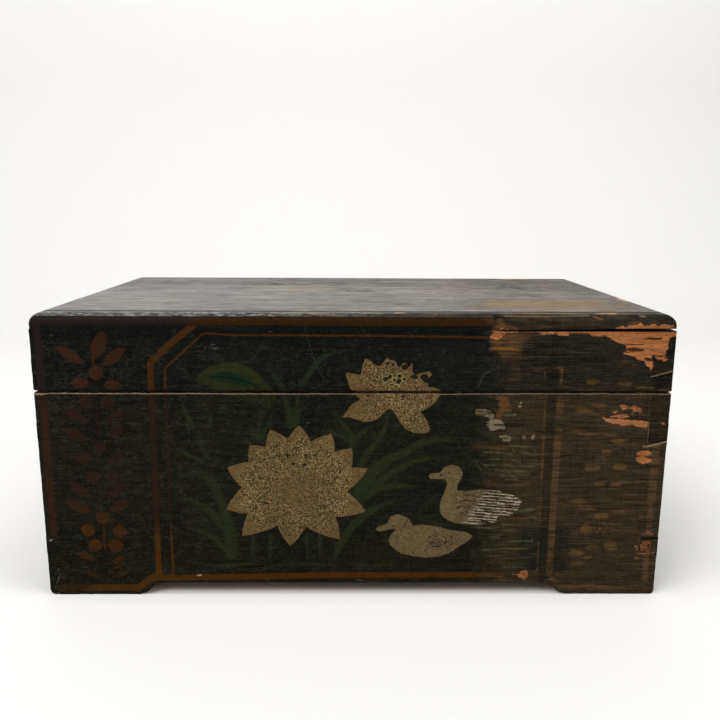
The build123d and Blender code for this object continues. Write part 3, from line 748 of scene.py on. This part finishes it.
    # cream blossoms and birds: the blossoms crackled dark and light, their tips clean
    birds = spot("birds")
    pod = spot("pod")
    fromHeart = plus(calc("POWER", plus(x, 0.045), 2.0), calc("POWER", less(z, 0.089), 2.0))
    fromHeart = calc("SQRT", fromHeart)
    middle = times(ease(plus(fromHeart, times(patchy, 0.012)), 0.056, 0.043, 0.25, 1),
                   ease(fromHeart, 0.008, 0.024, 0.55, 1))
    middle = most(middle, ease(x, 0.0, 0.012))
    inside = times(ease(attribute("cream"), 0.2, -2.2), ease(patchy, 0.3, 0.5, 0.6, 1), middle)
    hold = ease(birds, 0, 1, 1, 0.3)
    cracked = times(most(ease(dots, 0.48, 0.42), times(crackle(700), 0.5)), inside, hold)
    wings = times(birds, most(spot("rearWing"), spot("frontWing")), ease(dots, 0.52, 0.42))
    tail = times(spot("rearTail"), ease(less(x, times(z, 0.6)), 0.046, 0.054))
    comb = ease(calc("SINE", plus(times(z, 2650), times(x, 260), times(streak, 12))), -0.15, 0.6)
    creamTone = coats(
        blend(birds, "cream", "creamBird"),
        ("creamLight", ease(dots, 0.52, 0.6), inside, hold, ease(cloud, 0.4, 0.6, 0.55, 1)),
        ("creamLight", ease(speck, 0.52, 0.64), 0.22),
        ("creamCrack", ease(speck, 0.48, 0.38), 0.22),
        ("creamCrack", cracked, 0.9),
        ("creamCrack", birds, ease(z, 0.068, 0.058, 0, 0.12)),
        ("creamCrack", wings, ease(soft, 0.35, 0.6, 0.3, 0.9)),
        ("creamGrey", spot("thirdBird")),
        ("creamCrack", tail, 0.75),
        ("feather", tail, comb, ease(speck, 0.62, 0.5)),
        ("creamRim", pod, ease(attribute("mark"), 0.9, 0.4), ease(soft, 0.35, 0.5, 0.4, 1)),
    )
    creamMask = coverage("cream", 0.8, 0.3)
    creamHold = blend(spot("rubbedCream"), (1, 1, 1, 1), ease(streak, 0.42, 0.54, 0.15, 0.9))
    colour = coats(
        colour,
        (creamTone, creamMask, creamHold),
        (blend(pod, "lidBlack", "pod"), coverage("mark", 1.4, 0.25), creamMask, 0.95),
    )

    # bare places; those near the top of the body, at the joint and in the socket keep dark grains
    onBody = spot("onBody")
    salmonTone = coats(
        blend(ease(streak, 0.32, 0.62), "salmonDeep", "salmon"),
        ("salmonPale", most(spot("paleLoss"), ease(torn, 0.55, 0.72, 0, 0.6))),
        ("salmonDeep", onBody, ease(speck, 0.45, 0.6, 0.1, 0.5)),
        ("salmonDeep", spot("jointLoss"), ease(speck, 0.45, 0.6, 0.1, 0.6)),
        ("salmonDeep", spot("socketLoss"), 0.6),
    )
    lossGap = less(plus(attribute("loss"), waver(speck, 2.4)), 0.1)
    pecked = most(times(spot("upperBody"), onBody, 0.6), times(spot("jointLeft"), 0.8),
                  times(spot("inSocket"), 0.85))
    lossMask = times(
        ease(plus(lossGap, waver(torn, 5.0)), 0.3, -0.3), ease(lossGap, 1.0, 0.5), ease(torn, 0.66, 0.62),
        ease(z, 0.05, 0.06, 0.75, 1), ease(speck, 0.55, 0.5, less(1, pecked), 1))

    # cracks, scratches, the rubbed edge under the seam, painted shade along the seam gap and painted shade
    # in the open joint under the top board
    pale = most(spot("rightEdge"), spot("topEdge"), spot("leftFoot"))
    scratchTone = coats(
        blend(pale, "scratch", "scratchPale"),
        ("salmonDeep", spot("aboveSeam"), onLid, 0.85),
    )
    ragged = plus(z, waver(torn, 0.0016))
    fromSeam = less(less(ragged, ease(x, 0.05, 0.15, 0, 0.0005)), seamZ)
    thick = ease(x, -0.228, -0.236, 0, 0.001)
    seamEdge = times(ease(plus(fromSeam, thick), -0.0025, -0.0022), ease(fromSeam, -0.0015, -0.0018))
    # painted shade: dark band over the rubbed edge and the gap along the seam, as if shaded by the lid's
    # lower edge
    seamGapShade = times(ease(fromSeam, -0.0017, -0.0013), ease(ragged, seamZ + 0.0010, seamZ + 0.0003))
    jointTop = plus(0.2138, times(ease(x, 0.13, 0.22), 0.0012))
    colour = coats(
        colour,
        (salmonTone, lossMask),
        ("deep", coverage("crack", 1.2, 0.35, torn), 0.85),
        (scratchTone, coverage("scratch", 1.2, 0.4), ease(soft, 0.35, 0.6, 0.3, 1),
         ease(pale, 0, 1, 0.7, 0.9), ease(z, 0.15, 0.17, 1, 0.6)),
        ("arris", seamEdge, ease(attribute("cream"), -0.4, 0.4, 0.3, 0.9), ease(x, -0.1, 0.1, 0.95, 0.7)),
        ("deep", seamGapShade, 0.92),
        # painted shade: black along the open joint under the top board, down onto the rail's front
        ("deep", spot("openJointShade"), ease(less(z, jointTop), 0.0003, -0.0001)),
    )

    roughness = plus(ease(grain, 0.3, 0.7, 0.36, 0.5), times(rubbed, 0.12))
    roughness = calc("ADD", roughness, times(lossMask, 0.3), clamp=True)
    height = less(plus(times(grain, 0.5), times(speck, 0.3), times(creamMask, 0.25)), times(cracked, 0.4))
    return finishMaterial(material, colour, roughness, height, 0.35, 0.0006, 0.02)


def plainLacquer():
    # Sides and back of the box
    material = newMaterial("plain_lacquer")
    x, y, z = axes()
    cloud = mottle((12, 12, 12), 3)
    speck = mottle((800, 800, 800), 2, 0.7)
    grain = mottle((40, 40, 620), 5, 0.65)
    streak = mottle((34, 34, 430), 4, 0.7, (3, 1, 7))
    chips = ease(mottle((60, 60, 140), 5, 0.7, (8, 8, 8)), 0.68, 0.7)
    belowSeam = times(ease(z, seamZ - 0.0030, seamZ - 0.0016), ease(z, seamZ + 0.0003, seamZ))
    colour = coats(
        blend(ease(cloud, 0.35, 0.65), "leftBlack", "brown"),
        ("brownStreak", ease(streak, 0.58, 0.8), 0.4),
        ("dust", ease(speck, 0.5, 0.72), 0.4),
        ("salmon", chips),
        ("arris", belowSeam, ease(streak, 0.35, 0.6)),
        ("salmonDeep", ease(plus(z, times(streak, 0.004)), 0.004, 0.0025), 0.7),
    )
    return finishMaterial(material, colour, ease(grain, 0.3, 0.7, 0.36, 0.54), grain, 0.3, 0.0005, 0.2)


top = {
    "darkPlaces": ((-0.085, 0.072, 0.034, 0.013), (-0.03, 0.07, 0.03, 0.014), (0.0, 0.018, 0.016, 0.018),
                   (0.15, 0.05, 0.02, 0.03)),  # middle and reach of each, in metres
    "palePlace": (-0.058, 0.028, 0.045, 0.022),
    "tanPlace": (0.160, -0.088, 0.056, 0.034),
    "chips": ((0.19, -0.134, 0.009, 0.005), (0.232, -0.053, 0.005, 0.012), (0.034, -0.133, 0.006, 0.005),
              (0.175, 0.137, 0.017, 0.007)),
    "shine": (0.56, 0.23, 0.09),  # at the left, in the middle and at the right
}


def topLacquer():
    # Upper face of the lid: grey sheen with long streaks, and a tan patch rubbed bare at the right; a
    # painted dark reflection line and a painted highlight along the front edge
    material = newMaterial("top_lacquer")
    x, y, z = axes()
    cloud = mottle((9, 14, 9), 3)
    grain = mottle((11, 300, 60), 5, 0.65)
    streak = mottle((24, 170, 90), 5, 0.72, (3, 1, 7))
    patchy = mottle((60, 110, 90), 5, 0.62, (5, 0, 2))
    jagged = mottle((70, 150, 90), 6, 0.8, (1, 9, 4))
    speck = mottle((420, 600, 600), 3, 0.7)
    fleck = mottle((210, 620, 620), 5, 0.8, (2, 8, 4))
    smear = mottle((17, 80, 60), 5, 0.72, (7, 3, 5))

    def reachFrom(middleX, middleY, across, deep):
        reachX = calc("DIVIDE", less(x, middleX), across)
        reachY = calc("DIVIDE", less(y, middleY), deep)
        reach = calc("SQRT", plus(calc("POWER", reachX, 2.0), calc("POWER", reachY, 2.0)))
        return plus(reach, waver(patchy, 2.8))

    dark = most(0.0, *[times(ease(reachFrom(*place), 1.4, 0.7), ease(jagged, 0.45, 0.56))
                       for place in top["darkPlaces"]])
    tan = ease(reachFrom(*top["tanPlace"]), 1.15, 0.85)
    # painted dark reflection: a dark line about 10 to 18 mm behind the front edge of the top
    line = times(ease(y, boxLow.y + 0.020, boxLow.y + 0.016), ease(y, boxLow.y + 0.008, boxLow.y + 0.011))
    front = ease(y, boxLow.y + 0.0095, boxLow.y + 0.007)
    leftHalf = ease(plus(x, times(patchy, 0.1)), 0.12, -0.06)
    # painted highlight on the front round of the top board, along its left half
    glint = times(front, leftHalf, ease(fleck, 0.47, 0.62))
    colour = coats(
        blend(ease(cloud, 0.35, 0.65), "topDark", "topWorn"),
        ("topWorn", ease(streak, 0.45, 0.65), 0.7),
        ("topDark", ease(grain, 0.52, 0.66), 0.7),
        ("topBrown", ease(x, -0.08, 0.15), ease(patchy, 0.35, 0.6), 0.8),
        ("topTan", ease(speck, 0.55, 0.7), ease(patchy, 0.4, 0.6), 0.6),
        ("topTan", ease(smear, 0.48, 0.62), ease(x, -0.2, 0.0, 0.25, 0.6)),
        ("topDark", ease(jagged, 0.52, 0.62), 0.5),
        ("topDark", dark, 0.8),
        ("topTan", ease(reachFrom(*top["palePlace"]), 1.2, 0.7), ease(jagged, 0.42, 0.58, 0.2, 0.8)),
        ("topTan", tan, ease(streak, 0.38, 0.56, 0.45, 1)),
        *[("topBare", ease(reachFrom(*chip), 1.0, 0.85), 0.9) for chip in top["chips"]],
        # painted dark reflection line, then the painted highlight on the front round
        ("topDark", line, 0.85),
        ("topGlint", glint, ease(z, 0.2225, 0.2238), 0.3),
        ("topTan", front, ease(x, 0.108, 0.114), ease(speck, 0.45, 0.6), ease(x, 0.2, 0.16), 0.7),
    )

    atLeft, atMiddle, atRight = top["shine"]
    shine = times(
        plus(ease(x, -0.16, -0.03, atLeft, atMiddle), ease(x, 0.03, 0.14, 0, atRight - atMiddle)),
        ease(y, -0.03, 0.09, 1, 0.27), ease(streak, 0.35, 0.65, 0.72, 1.3),
        ease(smear, 0.38, 0.62, 0.5, 1.45), ease(jagged, 0.42, 0.6, 1.6, 0.35), ease(dark, 0, 1, 1, 0.25),
        ease(tan, 0, 1, 1, 0.5), ease(line, 0, 1, 1, 0.04), ease(front, 0, 1, 1, 0.12))
    rough = plus(ease(streak, 0.3, 0.75, 0.26, 0.44), times(tan, 0.12))
    return finishMaterial(material, colour, rough, grain, 0.3, 0.0005, plus(shine, times(glint, 0.2)))


def agedWood():
    # Bare insides, undersides and joints, with painted shade inside the open joint under the top board
    material = newMaterial("aged_wood")
    x, y, z = axes()
    cloud = mottle((10, 10, 10), 3)
    grain = mottle((14, 90, 240), 6, 0.65, bend=0.4)
    pores = mottle((90, 900, 900), 3, 0.6, (2, 2, 2))
    # painted shade: near-black on the faces inside the open joint under the top board, near the front
    inJointShade = times(ease(z, 0.2126, 0.2128), ease(z, 0.2156, 0.2152),
                    ease(y, boxLow.y + 0.018, boxLow.y + 0.014))
    colour = coats(
        blend(ease(grain, 0.3, 0.7), "woodDeep", "woodLight"),
        ("woodCloud", ease(cloud, 0.4, 0.7), 0.5),
        ("woodPore", ease(pores, 0.6, 0.75), 0.5),
        ("woodJointShade", inJointShade),
    )
    return finishMaterial(material, colour, ease(grain, 0.3, 0.7, 0.62, 0.8), grain, 0.3, 0.0005, 0.4)


def agedMetal(name, bright, dull, metallic):
    material = newMaterial(name)
    tarnish = mottle((300, 300, 300), 5, 0.65)
    colour = blend(ease(tarnish, 0.35, 0.65), bright, dull)
    roughness = ease(tarnish, 0.3, 0.7, 0.35, 0.62)
    return finishMaterial(material, colour, roughness, tarnish, 0.3, 0.0002, 0.5, metallic)


pondFinish = pondLacquer()
plainFinish = plainLacquer()
topFinish = topLacquer()
woodFinish = agedWood()
brassFinish = agedMetal("aged_brass", "brassBright", "brassDull", 1.0)
ironFinish = agedMetal("dark_iron", "ironBright", "ironDull", 0.8)
print("materials made")


hair = 1e-5  # metres; closer than this counts as the same place


def placed(name, data):
    made = bpy.data.objects.new(name, data)
    bpy.context.scene.collection.objects.link(made)
    return made


def meshFrom(bm, name, materials):
    mesh = bpy.data.meshes.new(name)
    bm.to_mesh(mesh)
    bm.free()
    for material in materials:
        mesh.materials.append(material)
    mesh.shade_smooth()
    return mesh


def finishPiece(bm, node, suffix, body, materials, finishOf):
    # finishOf gives the number of a face's material; edges that bend by over 35 degrees stay sharp
    for face in bm.faces:
        face.material_index = finishOf(face, face.calc_center_median())
    mesh = meshFrom(bm, node + suffix, materials)
    mesh.set_sharp_from_angle(angle=math.radians(35))
    layPaint(mesh)
    piece = placed(mesh.name, mesh)
    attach(piece, body)
    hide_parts(node)
    print(piece.name, len(mesh.polygons), "faces")


def cutAlong(bm, faces, place, normal):
    # Cuts the given faces along a plane
    edges = {edge for face in faces for edge in face.edges}
    verts = {vert for face in faces for vert in face.verts}
    bmesh.ops.bisect_plane(bm, geom=[*faces, *edges, *verts], dist=1e-7, plane_co=place, plane_no=normal)


def onlyVerts(made):
    return [item for item in made if isinstance(item, bmesh.types.BMVert)]


def openEdges(made):
    # Edges of the far rim of what was extruded
    verts = set(onlyVerts(made))
    return [item for item in made if isinstance(item, bmesh.types.BMEdge) and verts.issuperset(item.verts)]


def apronHeight(x):
    # Height of the lower edge of a long board: flat foot, S-curve, straight apron
    feet = {"footEnd": 0.168, "apronStart": 0.152, "rise": 0.010, "toe": 0.001}
    t = np.linspace(0, 1, 33)
    run = feet["footEnd"] - feet["apronStart"]
    along = feet["footEnd"] - run * (1.5 * t * (1 - t) + t ** 3)
    up = feet["toe"] + (feet["rise"] - feet["toe"]) * (3 * t ** 2 - 2 * t ** 3)
    if abs(x) > feet["footEnd"] + 0.0005:
        return 0.0
    return float(np.interp(-abs(x), -along, up))


frontWear = {
    "step": 0.001,  # spacing of the mesh on the painted face
    "nicks": (160, 45),  # fine and broad nicks of a rubbed edge, to the metre
    "seamArris": (0.0013, 0.0006, 0.00015),  # depth of the rubbed edge along the seam, row by row
    "outerArris": 0.0004,
    "socketArris": 0.0004,  # right end only; the pins of the left end are filled and don't show
    "lossDepth": 0.00025,
    "lossReach": 0.3,  # mm past the outline of a loss
    "waviness": (0.0001, 18),  # depth, and waves to the metre
    "flatEnds": 0.002,  # no waviness this near to the joints
    "cornerRounds": {  # corners of the front rubbed round: across and up
        ("body", "low", -1): (0.005, 0.005), ("body", "low", 1): (0.003, 0.003),
        ("body", "high", -1): (0.003, 0.002), ("body", "high", 1): (0.002, 0.0015),
        ("lid", "low", -1): (0.001, 0.001), ("lid", "low", 1): (0.001, 0.001),
    },
}


def openSockets(bm, pins, y):
    # Cuts the faces along the flanks of the pins and takes out what lies between
    for end in (-1, 1):
        for middle, height in pins:
            for flank in (-1, 1):
                start = Vector((end * shoulderX, y, middle + flank * height / 2))
                run = Vector((end * boardThick, 0, -flank * dovetails["taper"]))
                faces = [face for face in bm.faces if end * face.calc_center_median().x > shoulderX]
                cutAlong(bm, faces, start, run.cross(Vector((0, 1, 0))))
    inSocket = []
    for face in bm.faces:
        place = face.calc_center_median()
        past = abs(place.x) - shoulderX
        for middle, height in pins:
            half = height / 2 - dovetails["taper"] * past / boardThick
            if past > 0 and abs(place.z - middle) < half:
                inSocket.append(face)
    bmesh.ops.delete(bm, geom=inSocket, context="FACES")


def roundCorner(vert, body, low, high):
    # Squeezes the square corner of the board into an oval one
    end = 1 if vert.co.x > 0 else -1
    for edge, level, way in (("low", low.z, 1), ("high", high.z, -1)):
        across, up = frontWear["cornerRounds"].get((body, edge, end), (0, 0))
        if not across:
            continue
        sideways = (abs(vert.co.x) - (high.x - across)) / across
        upward = 1 - way * (vert.co.z - level) / up
        if sideways > 0 and upward > 0:
            pull = max(sideways, upward) / math.hypot(sideways, upward)
            vert.co.x = end * (high.x - across + across * sideways * pull)
            vert.co.z = level + way * up * (1 - upward * pull)


def rubDepth(place, depth):
    # Depth at one place of an edge that is rubbed in by depth on average
    fine, broad = frontWear["nicks"]
    rough = noise.fractal(place * fine, 0.8, 2.0, 3) + 0.5 * noise.noise(place * broad)
    return depth * max(0.25, 1 + 0.9 * rough)


def paintedBoard(node, pins, body, curvedFeet):
    # A board of the front: a fine grid with its sockets, rubbed edges and feet, drawn back to its thickness
    low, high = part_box(node)
    bm = bmesh.new()
    columns = round((high.x - low.x) / frontWear["step"])
    rows = round((high.z - low.z) / frontWear["step"])
    bmesh.ops.create_grid(bm, x_segments=columns, y_segments=rows, size=0.5)
    bmesh.ops.scale(bm, vec=(high.x - low.x, high.z - low.z, 1), verts=bm.verts)
    bmesh.ops.rotate(bm, matrix=Matrix.Rotation(math.radians(90), 3, "X"), verts=bm.verts)
    bmesh.ops.translate(bm, vec=(0, low.y, (low.z + high.z) / 2), verts=bm.verts)
    openSockets(bm, pins, low.y)
    rim = [edge for edge in bm.edges if edge.is_boundary]
    rimVerts = {vert for edge in rim for vert in edge.verts}
    seam = high.z if body == "body" else low.z
    seamRows = frontWear["seamArris"]
    places = np.array([vert.co for vert in bm.verts])
    loss = motifField(places[:, 0] / mm, places[:, 2] / mm, "loss")
    waveDepth, waves = frontWear["waviness"]
    for vert, lossGap in zip(bm.verts, loss):
        sunk = waveDepth * (1 + noise.noise(vert.co * waves))
        if abs(vert.co.x) > shoulderX - frontWear["flatEnds"]:
            sunk = 0
        row = round(abs(vert.co.z - seam) / frontWear["step"])
        atSide = abs(vert.co.x) > high.x - hair
        atFoot = vert.co.z < low.z + hair and body == "body"
        if row < len(seamRows):
            sunk += rubDepth(vert.co, seamRows[row] if body == "body" else seamRows[row] / 2)
        elif vert in rimVerts and (atSide or atFoot):
            sunk += rubDepth(vert.co, frontWear["outerArris"])
        elif vert in rimVerts and vert.co.x > shoulderX - hair:
            sunk += rubDepth(vert.co, frontWear["socketArris"])
        if lossGap < frontWear["lossReach"] and vert.co.x > 0:
            sunk += frontWear["lossDepth"]
        vert.co.y += sunk
        if curvedFeet:
            vert.co.z += apronHeight(vert.co.x) * (1 - vert.co.z / high.z)
        roundCorner(vert, body, low, high)
    made = bmesh.ops.extrude_edge_only(bm, edges=rim)["geom"]
    for vert in onlyVerts(made):
        vert.co.y = high.y
    bmesh.ops.triangle_fill(bm, edges=openEdges(made), use_beauty=True, use_dissolve=True)
    bmesh.ops.recalc_face_normals(bm, faces=bm.faces)

    def finishOf(face, place):
        if face.normal.y < -0.3:
            return 0
        return 2 if abs(place.x) > high.x - 10 * hair else 1

    finishPiece(bm, node, "_painted", body, (pondFinish, woodFinish, plainFinish), finishOf)


def pinFaces(bm):
    # Front ends of the pins
    limit = boxLow.y + mm
    return [face for face in bm.faces if face.normal.y < -0.9 and face.calc_center_median().y < limit]


def crossCut(bm):
    # Divides the front ends of the pins into small faces, so that the paint has points to follow
    low = Vector([min(vert.co[axis] for vert in bm.verts) for axis in range(3)])
    high = Vector([max(vert.co[axis] for vert in bm.verts) for axis in range(3)])
    for axis in (0, 2):
        cuts = int((high[axis] - low[axis]) / frontWear["step"])
        normal = Vector((axis == 0, 0, axis == 2))
        for cut in range(1, cuts):
            cutAlong(bm, pinFaces(bm), low + normal * cut * frontWear["step"], normal)


boardWork = {
    "arris": 0.0004,  # width of the eased edges
    "bend": 0.9,  # an edge is eased where its faces meet at more than this, in radians
    "shortest": 0.008,  # and where it is longer than this
    "skin": 0.0008,  # faces this near to the outside of the box are lacquered
}


def workedBoard(node, body):
    # A board of the frame with its edges eased, lacquered outside and bare inside
    skin = boardWork["skin"]
    bm = bmesh.new()
    bm.from_mesh(frame["nodes"][node].data)
    bmesh.ops.remove_doubles(bm, verts=bm.verts, dist=1e-6)
    bmesh.ops.dissolve_limit(bm, angle_limit=math.radians(1), verts=bm.verts, edges=bm.edges)
    sharp = []
    for edge in bm.edges:
        atLeftPin = all(vert.co.y < boxLow.y + hair and vert.co.x < 0 for vert in edge.verts)
        bends = len(edge.link_faces) == 2 and edge.calc_face_angle(0) > boardWork["bend"]
        if bends and edge.calc_length() > boardWork["shortest"] and not atLeftPin:
            sharp.append(edge)
    bmesh.ops.bevel(bm, geom=sharp, offset=boardWork["arris"], segments=2, profile=0.5, affect="EDGES",
                    material=-1, clamp_overlap=True)
    bmesh.ops.dissolve_degenerate(bm, dist=1e-6, edges=bm.edges)
    if pinFaces(bm):
        crossCut(bm)

    def finishOf(face, place):
        onSide = abs(place.x) > boxHigh.x - skin and abs(face.normal.x) > 0.3
        onBack = place.y > boxHigh.y - skin and face.normal.y > 0.3
        if place.y < boxLow.y + skin and face.normal.y < -0.3:
            return 0
        return 2 if onSide or onBack else 1

    finishPiece(bm, node, "_worked", body, (pondFinish, woodFinish, plainFinish), finishOf)


def topBoardPiece():
    shape = {
        "cornerRound": 0.002,  # seen from above
        "edgeRound": 0.008,
        "edgeSteps": 10,
        "columns": 480,
        "cuts": 11,  # 1 mm apart, at the front and at the back
        "levels": 3,  # cuts round the sides
        "levelStep": 0.0012,
        "lift": ((0.103, 0), (0.106, 0.0005), (0.16, 0.0008), (0.18, 0.0012), (0.215, 0.0019),
                 (0.24, 0.0018)),  # open joint: place along the front, and how far it gapes
    }
    low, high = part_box("lid_top_board")
    middle = (low + high) / 2
    half = (high - low) / 2
    bm = bmesh.new()
    bmesh.ops.create_cube(bm, size=1)
    bmesh.ops.scale(bm, vec=high - low, verts=bm.verts)
    bmesh.ops.translate(bm, vec=middle, verts=bm.verts)
    upper = [edge for edge in bm.edges if all(vert.co.z > high.z - hair for vert in edge.verts)]
    bmesh.ops.bevel(bm, geom=upper, offset=shape["edgeRound"], segments=shape["edgeSteps"], profile=0.5,
                    affect="EDGES", material=-1)
    for level in range(1, shape["levels"] + 1):
        cutAlong(bm, bm.faces[:], (0, 0, low.z + mm + level * shape["levelStep"]), (0, 0, 1))
    crossings = [low.y + boardThick]
    for cut in range(1, shape["cuts"] + 1):
        crossings += [low.y + cut * mm, high.y - cut * mm]
    for crossing in crossings:
        cutAlong(bm, bm.faces[:], (0, crossing, 0), (0, 1, 0))
    lengthwise = [edge for edge in bm.edges if abs(edge.verts[0].co.x - edge.verts[1].co.x) > half.x]
    bmesh.ops.subdivide_edges(bm, edges=lengthwise, cuts=shape["columns"], use_grid_fill=True)
    for vert in bm.verts:
        climb = max(0, vert.co.z - high.z + shape["edgeRound"])
        inset = shape["edgeRound"] - math.sqrt(max(0, shape["edgeRound"] ** 2 - climb ** 2))
        corner = [half[axis] - inset - shape["cornerRound"] for axis in (0, 1)]
        past = [(abs(vert.co[axis] - middle[axis]) - corner[axis]) / shape["cornerRound"] for axis in (0, 1)]
        if min(past) > 0:
            pull = max(past) / math.hypot(*past)
            for axis in (0, 1):
                side = 1 if vert.co[axis] > middle[axis] else -1
                reach = corner[axis] + past[axis] * pull * shape["cornerRound"]
                vert.co[axis] = middle[axis] + side * reach
        overRail = vert.co.y < low.y + boardThick + hair
        if overRail and vert.co.z < low.z + hair:
            vert.co.z += float(np.interp(vert.co.x, *zip(*shape["lift"])))
    bmesh.ops.recalc_face_normals(bm, faces=bm.faces)
    if bm.calc_volume(signed=True) < 0:
        bmesh.ops.reverse_faces(bm, faces=bm.faces)

    def finishOf(face, place):
        if face.normal.z < -0.5:
            return 1
        return 2 if face.normal.y < (-0.35 if place.x > shape["lift"][0][0] else -0.72) else 0

    finishPiece(bm, "lid_top_board", "_rounded", "lid", (topFinish, woodFinish, pondFinish), finishOf)


paintedBoard("front_board", dovetails["bodyPins"], "body", True)
paintedBoard("lid_front_rail", dovetails["lidPins"], "lid", False)
for node in ("back_board", "left_end_board", "right_end_board"):
    workedBoard(node, "body")
for node in ("lid_back_rail", "lid_left_rail", "lid_right_rail"):
    workedBoard(node, "lid")
topBoardPiece()

nodeFinishes = {"bare_wood": woodFinish, "brass": brassFinish, "iron": ironFinish}
for entry in frame["record"]["subparts"]:
    finish = nodeFinishes.get(entry["material_slot"])
    if finish:
        mesh = frame["nodes"][entry["node"]].data
        mesh.materials.clear()
        mesh.materials.append(finish)
print("pieces made")


def studio():
    # Pale floor that curves up into a wall
    sweep = {"front": -3.0, "back": 1.1, "curve": 0.7, "height": 3.0, "side": 4.0, "steps": 24}
    bm = bmesh.new()
    start = bm.verts.new((-sweep["side"], sweep["front"], 0))
    end = bm.verts.new((sweep["side"], sweep["front"], 0))
    edge = bm.edges.new((start, end))
    made = bmesh.ops.extrude_edge_only(bm, edges=[edge])["geom"]
    bmesh.ops.translate(bm, vec=(0, sweep["back"] - sweep["front"], 0), verts=onlyVerts(made))
    spun = bmesh.ops.spin(bm, geom=openEdges(made), cent=(0, sweep["back"], sweep["curve"]), axis=(1, 0, 0),
                          angle=math.radians(90), steps=sweep["steps"])["geom_last"]
    made = bmesh.ops.extrude_edge_only(bm, edges=openEdges(spun))["geom"]
    bmesh.ops.translate(bm, vec=(0, 0, sweep["height"]), verts=onlyVerts(made))
    bmesh.ops.recalc_face_normals(bm, faces=bm.faces)
    mesh = meshFrom(bm, "studio_sweep", [newMaterial("pale_sweep")])
    surface = put("BsdfPrincipled", {"Base Color": "sweep", "Roughness": 0.9, "Specular IOR Level": 0.1})
    put("OutputMaterial", {"Surface": surface.outputs[0]})
    placed("studio_sweep", mesh)


def lamp(name, place, target, size, power):
    light = bpy.data.lights.new(name, "AREA")
    light.shape = "RECTANGLE"
    light.size, light.size_y = size
    light.energy = power
    holder = placed(name, light)
    holder.location = place
    holder.rotation_euler = (Vector(target) - Vector(place)).to_track_quat("-Z", "Y").to_euler()


def lights():
    # Each lamp's place, what it points at, its width and height, and its power in watts
    lamp("key", (-1.4, -1.5, 2.1), (0, 0, 0.1), (1.6, 1.2), 52)
    lamp("fill", (1.8, -1.2, 1.6), (0, 0, 0.1), (1.4, 1.4), 20)
    lamp("wall_wash", (0, -0.2, 2.9), (0, 1.6, 0.9), (3.0, 0.8), 60)
    world = bpy.data.worlds.new("studio_air")
    world.use_nodes = True
    air = world.node_tree.nodes["Background"].inputs
    air["Color"].default_value = (0.9, 0.95, 1.0, 1)
    air["Strength"].default_value = 0.35
    bpy.context.scene.world = world


def viewpoint():
    seen = {"place": (-0.00243, -0.69125, 0.30310), "lens": 37.40,
            "down": 11.635, "right": 0.701, "roll": 0.304}  # degrees
    camera = bpy.data.cameras.new("photo_view")
    camera.lens = seen["lens"]
    camera.sensor_width = 36
    camera.clip_start = 0.01
    holder = placed("photo_view", camera)
    turn = Matrix.Rotation(math.radians(-seen["right"]), 4, "Z")
    tilt = Matrix.Rotation(math.radians(90 - seen["down"]), 4, "X")
    roll = Matrix.Rotation(math.radians(seen["roll"]), 4, "Z")
    holder.matrix_world = Matrix.Translation(seen["place"]) @ turn @ tilt @ roll
    bpy.context.scene.camera = holder


studio()
lights()
viewpoint()
bpy.context.scene.view_settings.view_transform = "Standard"
print("stage set")
